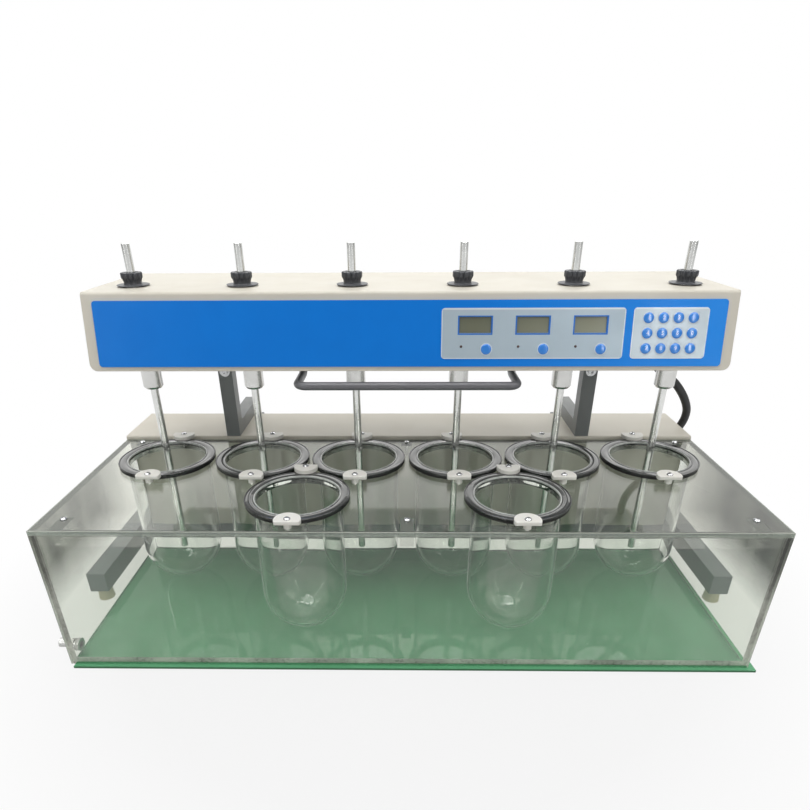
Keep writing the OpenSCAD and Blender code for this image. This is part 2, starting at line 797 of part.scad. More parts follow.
module belt_loop(r, h) {
    l = row_x[shafts - 1] - row_x[0];
    translate([-l / 2, -r, 0]) cube([l, 2 * r, h]);
    for (x = [-l / 2, l / 2]) translate([x, 0, 0]) cylinder(r = r, h = h);
}

// A hollow spindle with its belt pulley and a short neck for the chuck knob
module spindle(number) {
    low = plate_z - sleeve_drop;
    hub_z = plate_top + boss_h + loose;
    color("#c9ccce") translate([row_x[number - 1], 0, 0]) difference() {
        union() {
            translate([0, 0, low + 3 - e]) cylinder(d = sleeve_d, h = knob_z - low - 3 - 0.4 + e);
            translate([0, 0, low]) cylinder(d1 = sleeve_d - 5, d2 = sleeve_d, h = 3);
            translate([0, 0, hub_z]) cylinder(d = sleeve_d + 8, h = belt_z - hub_z);
            translate([0, 0, belt_z]) pulley();
            translate([0, 0, knob_z - 0.4 - e]) cylinder(r = stub_r, h = stub_h + 0.4);
        }
        translate([0, 0, low - e]) cylinder(d = shaft_d + 2 * fit, h = knob_top - low);
    }
}

// A fluted knob that flares to its top, on a thin disc
module knob(number) {
    flute_r = 1.7;
    color("#2b2d30") translate([row_x[number - 1], 0, knob_z]) difference() {
        union() {
            cylinder(d = skirt_d, h = skirt_t);
            translate([0, 0, skirt_t - e]) cylinder(d1 = knob_d * 0.76, d2 = knob_d, h = knob_h * 0.72);
            translate([0, 0, skirt_t + knob_h * 0.72 - 2 * e]) cylinder(d = knob_d, h = knob_h * 0.28);
        }
        for (a = [0 : 30 : 330]) rotate([0, 0, a]) translate([knob_d / 2 + 0.7, 0, skirt_t + 1])
            cylinder(r = flute_r, h = knob_h);
        translate([0, 0, -e]) cylinder(r = stub_r + fit, h = stub_h + 0.2);
        translate([0, 0, -e]) cylinder(d = shaft_d + 2 * fit, h = skirt_t + knob_h + 2 * e);
    }
}

module shaft(number) {
    tip = 1;
    color("#b7bbbd") translate([row_x[number - 1], 0, shaft_top - shaft_l]) {
        cylinder(d1 = shaft_d - 2 * tip, d2 = shaft_d, h = tip);
        translate([0, 0, tip]) cylinder(d = shaft_d, h = shaft_l - 2 * tip);
        translate([0, 0, shaft_l - tip]) cylinder(d1 = shaft_d, d2 = shaft_d - 2 * tip, h = tip);
    }
}

// A smooth path through the route's points
function spline(p, i, t) =
    let (a = p[max(i - 1, 0)], b = p[i], c = p[i + 1], d = p[min(i + 2, len(p) - 1)])
    0.5 * (2 * b + (c - a) * t + (2 * a - 5 * b + 4 * c - d) * t * t + (3 * b - a - 3 * c + d) * t * t * t);
conduit_path = concat(
    [for (i = [0 : conduit_end - 1], k = [0 : conduit_steps - 1]) spline(conduit_route, i, k / conduit_steps)],
    [conduit_route[conduit_end]]);

// A round tube swept along points, closed at both ends
module swept_tube(path, d, sides) {
    n = len(path);
    ring = function (i) let (
            t = unit(path[min(i + 1, n - 1)] - path[max(i - 1, 0)]),
            u = unit(cross(t, [1, 1, 1])), v = cross(t, u))
        [for (k = [0 : sides - 1]) path[i] + (u * cos(360 * k / sides) + v * sin(360 * k / sides)) * d / 2];
    points = [for (i = [0 : n - 1]) each ring(i)];
    walls = [for (i = [0 : n - 2], k = [0 : sides - 1])
        let (a = i * sides + k, b = i * sides + (k + 1) % sides)
        each [[a, a + sides, b], [b, a + sides, b + sides]]];
    ends = [[for (k = [0 : sides - 1]) k], [for (k = [sides - 1 : -1 : 0]) (n - 1) * sides + k]];
    polyhedron(points, concat(walls, ends));
}

module conduit() {
    color("#1d1e1f") swept_tube(conduit_path, conduit_d, conduit_sides);
}

tank_mat();
tank_body();
tank_lid();
tank_screws();
drain_fitting();
vessels();
vessel_seals();
clip(1, -1);  // clip_1_front
clip(1, 1);  // clip_1_rear
clip(2, -1);  // clip_2_front
clip(2, 1);  // clip_2_rear
clip(3, -1);  // clip_3_front
clip(3, 1);  // clip_3_rear
clip(4, -1);  // clip_4_front
clip(4, 1);  // clip_4_rear
clip(5, -1);  // clip_5_front
clip(5, 1);  // clip_5_rear
clip(6, -1);  // clip_6_front
clip(6, 1);  // clip_6_rear
clip(7, -1);  // clip_7_front
clip(7, 1);  // clip_7_rear
clip(8, -1);  // clip_8_front
clip(8, 1);  // clip_8_rear
housing();
back_panel();
base_frame();
frame_feet();
hinge_brackets();
left_arm();
right_arm();
arm_screws();
head_cover();
head_plate();
front_panel();
display_panel();
keypad_panel();
lcd_screens();
handle();
motor();
motor_pulley();
drive_belt();
spindle(1);  // spindle_1
spindle(2);  // spindle_2
spindle(3);  // spindle_3
spindle(4);  // spindle_4
spindle(5);  // spindle_5
spindle(6);  // spindle_6
knob(1);  // knob_1
knob(2);  // knob_2
knob(3);  // knob_3
knob(4);  // knob_4
knob(5);  // knob_5
knob(6);  // knob_6
shaft(1);  // shaft_1
shaft(2);  // shaft_2
shaft(3);  // shaft_3
shaft(4);  // shaft_4
shaft(5);  // shaft_5
shaft(6);  // shaft_6
conduit();
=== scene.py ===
import math

import bmesh
import bpy
from mathutils import Matrix, Vector


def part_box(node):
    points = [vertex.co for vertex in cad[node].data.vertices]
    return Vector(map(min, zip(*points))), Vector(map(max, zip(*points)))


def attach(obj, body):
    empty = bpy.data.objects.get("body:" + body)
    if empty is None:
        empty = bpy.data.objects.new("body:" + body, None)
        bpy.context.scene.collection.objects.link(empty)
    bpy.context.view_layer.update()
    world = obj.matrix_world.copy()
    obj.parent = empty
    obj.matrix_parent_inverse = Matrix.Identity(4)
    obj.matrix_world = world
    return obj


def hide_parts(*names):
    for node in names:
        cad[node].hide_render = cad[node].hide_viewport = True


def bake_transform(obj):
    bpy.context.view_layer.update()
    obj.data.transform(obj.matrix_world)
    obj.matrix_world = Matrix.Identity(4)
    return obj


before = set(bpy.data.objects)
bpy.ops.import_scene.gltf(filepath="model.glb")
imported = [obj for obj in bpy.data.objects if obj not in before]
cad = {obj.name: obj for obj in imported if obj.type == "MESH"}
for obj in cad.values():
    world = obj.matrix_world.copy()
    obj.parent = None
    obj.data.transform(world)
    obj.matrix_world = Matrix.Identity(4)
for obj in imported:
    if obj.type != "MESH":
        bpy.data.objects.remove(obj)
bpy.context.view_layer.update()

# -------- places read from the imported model


def low(node):
    return Vector(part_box(node)[0])


def high(node):
    return Vector(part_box(node)[1])


def middle(node):
    return (low(node) + high(node)) / 2


ROW = [middle(f"shaft_{k}").x for k in range(1, 7)]
CLIPS = [f"clip_{n}_{side}" for n in range(1, 9) for side in ("front", "rear")]
CLIP_R = (high("clip_1_front").x - low("clip_1_front").x) / 2


def clip_axis(name):
    """The screw's axis in plan: the disc is whole on the vessel's side and flat on the other."""
    y = high(name).y - CLIP_R if name.endswith("front") else low(name).y + CLIP_R
    return Vector((middle(name).x, y, 0))


VESSELS = [(clip_axis(f"clip_{n}_front") + clip_axis(f"clip_{n}_rear")) / 2 for n in range(1, 9)]
RIM_R = high("vessels").x - VESSELS[5].x
VESSEL_BOTTOM = low("vessels").z
RIM_TOP = high("vessels").z
LID_TOP = high("tank_lid").z
LID_LOW = low("tank_lid").z
TANK_LOW, TANK_HIGH = low("tank_body"), high("tank_lid")
HEAD_LOW, HEAD_HIGH = low("head_cover"), high("head_cover")

# -------- sizes that the boxes don't give, in metres

WALL, FLOOR_T = 0.007, 0.008  # the tank's upright sheets and its floor
VESSEL_R, GLASS, RIM_T = 0.0545, 0.003, 0.0025
SCREW_R, SCREW_DOME = 0.004, 0.0029  # screw heads
LONG_SHANK, SHORT_SHANK = 0.016, 0.003
BLOCK_HALF = 0.008  # half the width of a screw block
FRONT_SCREW_IN, BACK_SCREW_IN = 0.028, 0.004  # from the tank's front, and from its back sheet
LID_SCREW_X = high("tank_screws").x - SCREW_R
LID_SCREW_Y = (TANK_LOW.y + FRONT_SCREW_IN, TANK_HIGH.y - WALL - BACK_SCREW_IN)
NEAR = 0.00005  # slack that tells one face from the next
SKIN, THIN = 0.0004, 0.0001  # edge plates in the acrylic: how deep and how thick
CLIP_BOSS_R = 0.0045
CONDUIT_R = 0.006

FACE_LEAN, FACE_HEIGHT = 0.018, 0.0875  # the head's sloping front
FACE_ANGLE = math.atan2(FACE_HEIGHT, FACE_LEAN)
FACE_SIN = math.sin(FACE_ANGLE)
FACE_TURN = Matrix.Rotation(FACE_ANGLE, 4, "X")
FACE = Matrix.Translation((0, HEAD_LOW.y, HEAD_LOW.z)) @ FACE_TURN
PANEL_OUT = 0.0021  # the membrane sheets stand out of that front
BARE_BELOW, BARE_BOTH = 0.005, 0.0145  # bare cover under the blue sheet, and under and over it together
DISPLAY_X, KEYPAD_X = middle("display_panel").x, middle("keypad_panel").x
LCD_PITCH, LCD_W, LCD_H = 0.0665, 0.037, 0.018
MEMBRANE_H = 0.057
MEMBRANE_LOW = BARE_BELOW + (math.hypot(FACE_LEAN, FACE_HEIGHT) - BARE_BOTH - MEMBRANE_H) / 2
LCD_UP = MEMBRANE_LOW + MEMBRANE_H * 0.67
LCD_X = [DISPLAY_X + k * LCD_PITCH for k in (-1, 0, 1)]
SET_KEYS = [(x + LCD_W * 0.36, MEMBRANE_LOW + MEMBRANE_H * 0.19) for x in LCD_X]
SET_LAMPS = [(x - LCD_W * 0.43, MEMBRANE_LOW + MEMBRANE_H * 0.245) for x in LCD_X]
KEY_PITCH = 0.0171
PAD_KEYS = [(KEYPAD_X + (i - 1.5) * KEY_PITCH, MEMBRANE_LOW + MEMBRANE_H / 2 + (1 - j) * KEY_PITCH)
            for j in range(3) for i in range(4)]


def on_face(x, up, out):
    """A point given along the head, up its sloping front and out of it."""
    return FACE @ Vector((x, up, out))


# -------- short ways to build node trees


class Sheet:
    """A node tree with short ways to add nodes and join them."""

    def __init__(self, tree):
        self.tree = tree

    def put(self, socket, value):
        if isinstance(value, bpy.types.NodeSocket):
            self.tree.links.new(value, socket)
        else:
            socket.default_value = value

    def add(self, kind, inputs=None, **settings):
        node = self.tree.nodes.new(kind)
        for key, value in settings.items():
            setattr(node, key, value)
        for key, value in (inputs or {}).items():
            self.put(node.inputs[key], value)
        return node

    def math(self, operation, a, b=0.0, clamp=False):
        return self.add("ShaderNodeMath", {0: a, 1: b}, operation=operation, use_clamp=clamp).outputs[0]

    def chain(self, operation, values):
        made = values[0]
        for value in values[1:]:
            made = self.math(operation, made, value)
        return made

    def times(self, *values):
        return self.chain("MULTIPLY", values)

    def most(self, *values):
        return self.chain("MAXIMUM", values)

    def plus(self, a, b, clamp=False):
        return self.math("ADD", a, b, clamp)

    def less(self, a, b):
        return self.math("SUBTRACT", a, b)

    def gap(self, a, b):
        return self.math("ABSOLUTE", self.less(a, b))

    def under(self, a, b):
        return self.math("LESS_THAN", a, b)

    def over(self, a, b):
        return self.math("GREATER_THAN", a, b)

    def mix(self, factor, a, b):
        node = self.add("ShaderNodeMix", data_type="RGBA")
        self.put(node.inputs[0], factor)
        self.put(node.inputs[6], a)
        self.put(node.inputs[7], b)
        return node.outputs[2]

    def span(self, value, low_in, high_in, low_out=0.0, high_out=1.0):
        values = {0: value, 1: low_in, 2: high_in, 3: low_out, 4: high_out}
        return self.add("ShaderNodeMapRange", values).outputs[0]

    def noise(self, place, scale, detail=3.0, rough=0.5):
        return self.add("ShaderNodeTexNoise", {"Vector": place, "Scale": scale, "Detail": detail,
                                               "Roughness": rough}).outputs["Fac"]

    def stretch(self, place, scale, turn=(0, 0, 0)):
        return self.add("ShaderNodeMapping", {"Vector": place, "Scale": scale, "Rotation": turn}).outputs[0]

    def place(self):
        return self.add("ShaderNodeTexCoord").outputs["Object"]

    def split(self, vector):
        return self.add("ShaderNodeSeparateXYZ", {0: vector}).outputs

    def either(self, factor, first, second):
        shaders = {0: factor, 1: first.outputs[0], 2: second.outputs[0]}
        return self.add("ShaderNodeMixShader", shaders).outputs[0]

    def surface(self, shader):
        self.put(self.tree.nodes["Material Output"].inputs["Surface"], shader)

    def feed(self, node, **values):
        """Puts values or sockets into a node, with _ for the spaces in its inputs' names."""
        for key, value in values.items():
            self.put(node.inputs[key.replace("_", " ")], value)
        return node.outputs

    def group(self, tree, **values):
        return self.feed(self.add("ShaderNodeGroup", node_tree=tree), **values)

    def relief(self, skin, height, strength, normal=None, depth=0.0002):
        """Joins a fine relief to a skin, over a normal that is already there if one is given."""
        rise = self.add("ShaderNodeBump", {"Height": height, "Strength": strength, "Distance": depth})
        if normal is not None:
            self.put(rise.inputs["Normal"], normal)
        self.put(skin.inputs["Normal"], rise.outputs[0])


def finish_of(name):
    material = bpy.data.materials.new(name)
    material.use_nodes = True
    return material, Sheet(material.node_tree), material.node_tree.nodes["Principled BSDF"]


def colour(r, g, b):
    """A display colour, 0 to 255, as the linear value a shader takes."""
    shares = (c / 255 for c in (r, g, b))
    return tuple(((s + 0.055) / 1.055) ** 2.4 if s > 0.0404 else s / 12.92 for s in shares) + (1.0,)


def grey(value, blue=None):
    return (value, value, value if blue is None else blue, 1)


# -------- camera, light and floor

PHOTO_SIZE = 810  # pixels across and down
PHOTO_FOCUS = 592.26  # focal length in pixels
PHOTO_MIDDLE = (396.10, 499.40)  # where the line of sight meets the picture
PHOTO_PLACE = (-0.00215, -0.7583, 0.5356)
PHOTO_ANGLES = (27.82, -1.0, -0.36)  # pitch, yaw and roll in degrees
SENSOR = 36.0

SOFTBOXES = (  # name, place, target, width and height, watts
    ("key_box", (-0.4, -0.35, 2.2), (0, 0, 0.25), (1.6, 1.2), 16.5),
    ("right_box", (1.5, -0.4, 1.4), (0.2, 0, 0.3), (0.9, 1.2), 5),
    ("back_box", (0.2, 1.5, 1.6), (0, 0, 0.3), (1.8, 0.8), 5),
    ("left_strip", (-1.0, -0.9, 0.8), (0, 0, 0.15), (0.07, 1.0), 1.1),
    ("right_strip", (0.75, -1.1, 0.8), (0, 0, 0.15), (0.07, 1.0), 1.1))
WINDOW_X, WINDOW_HALF = (-0.52, 0.4), 0.05  # as parts of a heading of length one
TUBE_LEAN, TUBE_HALF = (0.72, 0.05, -0.5), 0.09  # run back over rise
FLOOR_HALF, FLOOR_Z = 6.0, -0.0006


def photo_camera():
    pitch, yaw, roll = (math.radians(a) for a in PHOTO_ANGLES)
    forward = Vector((math.sin(yaw) * math.cos(pitch), math.cos(yaw) * math.cos(pitch), -math.sin(pitch)))
    right = forward.cross(Vector((0, 0, 1))).normalized()
    up = right.cross(forward)
    across = math.cos(roll) * right + math.sin(roll) * up
    upright = math.cos(roll) * up - math.sin(roll) * right
    data = bpy.data.cameras.new("photo_camera")
    data.sensor_width = SENSOR
    data.lens = SENSOR * PHOTO_FOCUS / PHOTO_SIZE
    data.shift_x = 0.5 - PHOTO_MIDDLE[0] / PHOTO_SIZE
    data.shift_y = PHOTO_MIDDLE[1] / PHOTO_SIZE - 0.5
    data.clip_start = 0.02
    camera = bpy.data.objects.new("photo_camera", data)
    turn = Matrix((across, upright, -forward)).transposed().to_4x4()
    camera.matrix_world = Matrix.Translation(PHOTO_PLACE) @ turn
    bpy.context.collection.objects.link(camera)
    bpy.context.scene.camera = camera


def softbox(name, place, target, size, watts):
    data = bpy.data.lights.new(name, "AREA")
    data.shape = "RECTANGLE"
    data.size, data.size_y = size
    data.energy = watts
    lamp = bpy.data.objects.new(name, data)
    lamp.location = place
    lamp.rotation_euler = (Vector(target) - Vector(place)).to_track_quat("-Z", "Y").to_euler()
    bpy.context.collection.objects.link(lamp)


def windows(sheet, heading):
    """Two narrow windows before the object and three ceiling tubes, as a mask of directions for gloss."""
    front = sheet.under(heading["Y"], -0.2)
    height = sheet.under(sheet.gap(heading["Z"], 0.3), 0.22)
    across = sheet.most(*(sheet.under(sheet.gap(heading["X"], x), WINDOW_HALF) for x in WINDOW_X))
    above = sheet.times(sheet.over(heading["Z"], 0.2), sheet.under(sheet.gap(heading["X"], 0.0), 0.75))
    lean = sheet.math("DIVIDE", heading["Y"], heading["Z"])
    tubes = sheet.most(*(sheet.under(sheet.gap(lean, steep), TUBE_HALF) for steep in TUBE_LEAN))
    return sheet.most(sheet.times(front, height, across), sheet.times(above, tubes))


def studio():
    """White for the eye and through glass, darker sides for metal to reflect, and a soft room for light."""
    world = bpy.data.worlds.new("studio")
    bpy.context.scene.world = world
    world.use_nodes = True
    sheet = Sheet(world.node_tree)
    world.node_tree.nodes.clear()
    path = sheet.add("ShaderNodeLightPath").outputs
    seen = sheet.most(path["Is Camera Ray"], path["Is Transmission Ray"])
    heading = sheet.split(sheet.add("ShaderNodeTexCoord").outputs["Generated"])
    back = sheet.span(heading["Y"], -0.8, 0.7)
    sky = sheet.span(heading["Z"], -0.25, 0.55)
    room = sheet.mix(back, grey(0.07), grey(0.6, 0.59))
    room = sheet.mix(sky, grey(0.3), sheet.mix(0.4, room, grey(0.8, 0.78)))
    side = sheet.span(sheet.gap(heading["X"], 0.0), 0.45, 0.85)
    dark = sheet.times(side, sheet.span(heading["Z"], 0.34, 0.1))
    mirrored = sheet.mix(dark, sheet.mix(back, grey(0.45), grey(1.3, 1.28)), grey(0.1))
    mirrored = sheet.mix(windows(sheet, heading), mirrored, grey(7))
    shown = sheet.mix(path["Is Glossy Ray"], room, mirrored)
    light = sheet.add("ShaderNodeBackground", {"Color": shown, "Strength": 0.9})
    white = sheet.add("ShaderNodeBackground", {"Color": grey(1), "Strength": 1.0})
    sheet.add("ShaderNodeOutputWorld", {"Surface": sheet.either(seen, light, white)})
    for lamp in SOFTBOXES:
        softbox(*lamp)


def pale_floor():
    """White away from the object, and under it a grey that keeps the shadow."""
    mesh = bpy.data.meshes.new("floor")
    corners = [(x * FLOOR_HALF, y * FLOOR_HALF, FLOOR_Z) for x, y in ((-1, -1), (1, -1), (1, 1), (-1, 1))]
    mesh.from_pydata(corners, [], [(0, 1, 2, 3)])
    floor = bpy.data.objects.new("floor", mesh)
    bpy.context.collection.objects.link(floor)
    material, sheet, skin = finish_of("floor_white")
    sheet.feed(skin, Base_Color=grey(0.6), Roughness=0.7)
    path = sheet.add("ShaderNodeLightPath").outputs
    seen = sheet.most(path["Is Camera Ray"], path["Is Transmission Ray"], path["Is Glossy Ray"])
    glow = sheet.add("ShaderNodeEmission", {"Color": grey(1), "Strength": 1.0})
    across = sheet.add("ShaderNodeVectorMath", {0: sheet.place()}, operation="LENGTH").outputs["Value"]
    far = sheet.span(across, 0.4, 0.66, 0.82, 1.0)
    sheet.surface(sheet.either(sheet.times(seen, far), skin, glow))
    mesh.materials.append(material)


# -------- shared surface effects


def effect(name, inputs, outputs):
    """An empty shader node group: its tree, its sheet, what comes in and the node that goes out."""
    tree = bpy.data.node_groups.new(name, "ShaderNodeTree")
    kinds = {float: "NodeSocketFloat", tuple: "NodeSocketColor", Vector: "NodeSocketVector"}
    for key, value in inputs.items():
        socket = tree.interface.new_socket(name=key, in_out="INPUT", socket_type=kinds[type(value)])
        socket.default_value = value
    for key, kind in outputs.items():
        tree.interface.new_socket(name=key, in_out="OUTPUT", socket_type=kinds[kind])
    sheet = Sheet(tree)
    return tree, sheet, sheet.add("NodeGroupInput").outputs, sheet.add("NodeGroupOutput")


def skin_effect(name):
    """An effect that makes a whole skin: two shades, a gloss and the scale of its grain go in."""
    return effect(name, {"Shade A": grey(0.7), "Shade B": grey(0.6), "Gloss": 0.4, "Grain": 1500.0},
                  {"Color": tuple, "Roughness": float, "Height": float})


def sprayed_paint():
    """Two close shades in soft clouds, a fine orange-peel skin and a few rubbed spots."""
    tree, sheet, put, out = skin_effect("sprayed_paint")
    place = sheet.place()
    clouds = sheet.span(sheet.noise(place, 7.0, 4.0), 0.35, 0.65)
    speck = sheet.span(sheet.noise(place, 900.0, 2.0), 0.62, 0.75, 0.0, 0.25)
    shade = sheet.mix(clouds, put["Shade A"], put["Shade B"])
    rub = sheet.span(sheet.noise(place, 30.0, 5.0), 0.3, 0.7, -0.06, 0.08)
    sheet.feed(out, Color=sheet.mix(speck, shade, put["Shade B"]), Roughness=sheet.plus(put["Gloss"], rub),
               Height=sheet.noise(place, put["Grain"], 2.0))
    return tree


def turned_metal():
    """Fine rings round an upright axis, with slow changes of shade along it."""
    tree, sheet, put, out = skin_effect("turned_metal")
    place = sheet.place()
    rings = sheet.noise(sheet.stretch(place, (0.02, 0.02, 1.0)), put["Grain"], 2.0)
    smear = sheet.span(sheet.noise(place, 40.0, 4.0), 0.35, 0.65)
    sheet.feed(out, Color=sheet.mix(sheet.times(smear, 0.5), put["Shade A"], put["Shade B"]), Height=rings,
               Roughness=sheet.plus(put["Gloss"], sheet.span(rings, 0.3, 0.7, -0.012, 0.02)))
    return tree


def moulded_skin():
    """Plastic or rubber: fine grain, faint clouds and a little dust in the grain."""
    tree, sheet, put, out = skin_effect("moulded_skin")
    place = sheet.place()
    grain = sheet.noise(place, put["Grain"], 3.0)
    clouds = sheet.span(sheet.noise(place, 22.0, 4.0), 0.3, 0.7)
    mixed = sheet.plus(sheet.times(clouds, 0.7), sheet.span(grain, 0.5, 0.8, 0.0, 0.5), True)
    sheet.feed(out, Color=sheet.mix(mixed, put["Shade A"], put["Shade B"]), Height=grain,
               Roughness=sheet.plus(put["Gloss"], sheet.span(clouds, 0, 1, -0.05, 0.07)))
    return tree


def soft_edges():
    """A normal rounded over sharp edges, and a mask of those edges."""
    tree, sheet, put, out = effect("soft_edges", {"Radius": 0.0006}, {"Normal": Vector, "Mask": float})
    rounded = sheet.add("ShaderNodeBevel", {"Radius": put["Radius"]}, samples=4).outputs[0]
    plain = sheet.add("ShaderNodeNewGeometry").outputs["Normal"]
    along = sheet.add("ShaderNodeVectorMath", {0: rounded, 1: plain}, operation="DOT_PRODUCT")
    sheet.feed(out, Normal=rounded, Mask=sheet.span(along.outputs["Value"], 0.98, 0.75))
    return tree


def fine_scratches():
    """Thin scratches in three directions, as on wiped acrylic."""
    tree, sheet, put, out = effect("fine_scratches", {"Scale": 40.0, "Amount": 0.5},
                                   {"Mask": float, "Haze": float})
    place = sheet.place()
    lines = []
    for turn in ((0.3, 0.2, 0.5), (1.1, 0.7, -0.6), (-0.5, 1.3, 1.9)):
        thin = sheet.noise(sheet.stretch(place, (1.0, 14.0, 14.0), turn), put["Scale"], 2.0)
        lines.append(sheet.span(thin, 0.66, 0.72))
    patch = sheet.span(sheet.noise(place, 9.0, 3.0), 0.45, 0.7)
    sheet.feed(out, Mask=sheet.times(sheet.most(*lines), patch, put["Amount"]),
               Haze=sheet.times(patch, put["Amount"]))
    return tree


def box_outline():
    """A rectangular outline on an upright or leaning face, by its middle and half sizes along X and Z."""
    tree, sheet, put, out = effect(
        "box_outline", {"Middle X": 0.0, "Middle Z": 0.0, "Half X": 0.02, "Half Z": 0.01, "Line": 0.001},
        {"Mask": float})
    split = sheet.split(sheet.place())
    edge = sheet.most(*(sheet.less(sheet.gap(split[axis], put["Middle " + axis]), put["Half " + axis])
                        for axis in ("X", "Z")))
    sheet.feed(out, Mask=sheet.under(sheet.gap(edge, 0.0), put["Line"]))
    return tree


PAINT, TURNED, MOULDED = sprayed_paint(), turned_metal(), moulded_skin()
EDGES, SCRATCHES, OUTLINE = soft_edges(), fine_scratches(), box_outline()

# -------- finishes

EDGE = 0.0006  # radius of a softened edge


def skinned(sheet, tree, shade_a, shade_b, gloss, grain):
    """What a skin effect makes of two display colours."""
    return sheet.group(tree, Shade_A=colour(*shade_a), Shade_B=colour(*shade_b), Gloss=gloss, Grain=grain)


def coated(name, tree, shade_a, shade_b, gloss, grain, bump, metal=0.0, edge=0.0, worn=None, coat=0.0,
           clear=0.0):
    """A finish from a shared effect. Its edges may be softened and worn, and it may be partly clear."""
    material, sheet, skin = finish_of(name)
    made = skinned(sheet, tree, shade_a, shade_b, gloss, grain)
    shade = made["Color"]
    rim = sheet.group(EDGES, Radius=edge) if edge else None
    if worn:
        shade = sheet.mix(sheet.times(rim["Mask"], 0.6), shade, colour(*worn))
    sheet.feed(skin, Base_Color=shade, Roughness=made["Roughness"], Metallic=metal, Coat_Weight=coat)
    sheet.relief(skin, made["Height"], bump, rim["Normal"] if rim else None)
    if clear:
        sheet.surface(sheet.either(clear, skin, sheet.add("ShaderNodeBsdfTransparent")))
    return material


CREAM = coated("cream_paint", PAINT, (226, 221, 208), (219, 213, 199), 0.42, 1300, 0.12, edge=0.0012,
               worn=(232, 228, 217))
GREY_PAINT = coated("rail_paint", PAINT, (112, 118, 121), (102, 108, 111), 0.45, 1100, 0.05, edge=0.0012,
                    worn=(132, 137, 139))
ARM_PAINT = coated("arm_paint", PAINT, (138, 141, 140), (126, 129, 129), 0.42, 1100, 0.15, edge=0.001,
                   worn=(156, 159, 158))
HANDLE_PAINT = coated("handle_paint", PAINT, (122, 122, 126), (108, 108, 112), 0.34, 1500, 0.08)
MOTOR_PAINT = coated("motor_paint", PAINT, (110, 113, 116), (96, 99, 102), 0.4, 1200, 0.1, edge=EDGE)

STEEL = coated("ground_steel", TURNED, (226, 227, 225), (198, 199, 197), 0.15, 2600, 0.004, 0.92)
SLEEVE = coated("sleeve_steel", TURNED, (214, 214, 212), (190, 190, 187), 0.24, 1800, 0.01, 1.0, EDGE)
SCREW_STEEL = coated("screw_steel", TURNED, (190, 191, 192), (160, 161, 162), 0.2, 3000, 0.04, 1.0)
PLATE_METAL = coated("milled_plate", TURNED, (180, 182, 184), (160, 162, 164), 0.36, 900, 0.08, 1.0, EDGE)
DRAIN_METAL = coated("drain_metal", TURNED, (196, 197, 194), (172, 173, 170), 0.3, 1400, 0.08, 0.6, EDGE)

KNOB_BLACK = coated("knob_black", MOULDED, (61, 63, 68), (75, 77, 82), 0.38, 2600, 0.15)
SEAL_BLACK = coated("seal_rubber", MOULDED, (22, 22, 23), (34, 34, 34), 0.55, 1800, 0.2, edge=EDGE)
BELT_BLACK = coated("belt_rubber", MOULDED, (30, 31, 32), (40, 41, 42), 0.6, 1800, 0.2, edge=EDGE)
SHEATH_BLACK = coated("conduit_sheath", MOULDED, (28, 28, 29), (38, 38, 39), 0.46, 1600, 0.2)
CLIP_WHITE = coated("clip_nylon", MOULDED, (250, 248, 241), (241, 238, 230), 0.4, 1500, 0.1)
FOOT_CREAM = coated("foot_rubber", MOULDED, (226, 219, 186), (212, 204, 170), 0.5, 1200, 0.15, edge=EDGE)
KEY_BLUE = coated("key_film", MOULDED, (44, 146, 244), (34, 128, 226), 0.22, 3000, 0.04, coat=0.7)
KEY_RING = coated("key_border", MOULDED, (214, 226, 234), (204, 218, 228), 0.4, 3000, 0.04)
DIGIT_WHITE = coated("digit_print", MOULDED, (214, 230, 246), (196, 216, 238), 0.4, 3000, 0.04)
LAMP_DARK = coated("lamp_lens", MOULDED, (70, 44, 44), (60, 40, 40), 0.2, 3000, 0.03, coat=0.6)
GROUND_RIM = coated("ground_rim", MOULDED, (84, 85, 83), (48, 50, 49), 0.1, 90, 0.05, coat=1.0)
RIM_DARK = coated("rim_edge", MOULDED, (26, 27, 27), (38, 39, 39), 0.3, 900, 0.05, coat=0.6)
# The inner lip is painted a pale grey as a highlight on the glass.
LIP_PAINTED_HIGHLIGHT = coated("rim_lip", MOULDED, (216, 219, 214), (120, 123, 121), 0.15, 160, 0.05, coat=1.0)

GLUE_GREY = coated("glue_line", MOULDED, (250, 250, 243), (96, 96, 87), 0.5, 210, 0.2, clear=0.3)
# The sawn ends of the front and back sheets: frosted, and painted near white as a glow of light carried
# through the acrylic.
SAWN_EDGE_AND_GLOW = coated("sawn_edge", MOULDED, (250, 253, 244), (232, 236, 225), 0.45, 500, 0.2, clear=0.4)
SHEET_TOP = coated("sheet_top", MOULDED, (160, 163, 154), (136, 139, 130), 0.45, 400, 0.2, clear=0.6)
LID_EDGE = coated("lid_edge", MOULDED, (206, 220, 208), (180, 196, 183), 0.45, 500, 0.2, clear=0.72)
BLOCK_TOP = coated("block_top", MOULDED, (120, 123, 116), (110, 113, 106), 0.45, 400, 0.2, clear=0.2)
# Painted highlights: pale lines where the polished edges would catch the light.
ARRIS_PAINTED_HIGHLIGHT = coated("arris_painted_highlight", MOULDED, (226, 229, 221), (196, 200, 190), 0.3, 300, 0.1, clear=0.3)


def green_mat():
    """Green sheet with a fine weave, darker on its cut edges."""
    material, sheet, skin = finish_of("green_mat")
    made = skinned(sheet, MOULDED, (96, 173, 125), (83, 159, 110), 0.5, 1200)
    weave = sheet.add("ShaderNodeTexWave", {"Vector": sheet.place(), "Scale": 160.0, "Distortion": 0.4},
                      bands_direction="Y").outputs["Fac"]
    facing = sheet.split(sheet.add("ShaderNodeNewGeometry").outputs["Normal"])
    flat = sheet.over(facing["Z"], 0.5)
    shade = sheet.mix(sheet.times(weave, 0.14), made["Color"], colour(112, 180, 138))
    sheet.feed(skin, Base_Color=sheet.mix(flat, colour(46, 108, 68), shade), Roughness=made["Roughness"])
    sheet.relief(skin, sheet.plus(made["Height"], weave), 0.12)
    return material


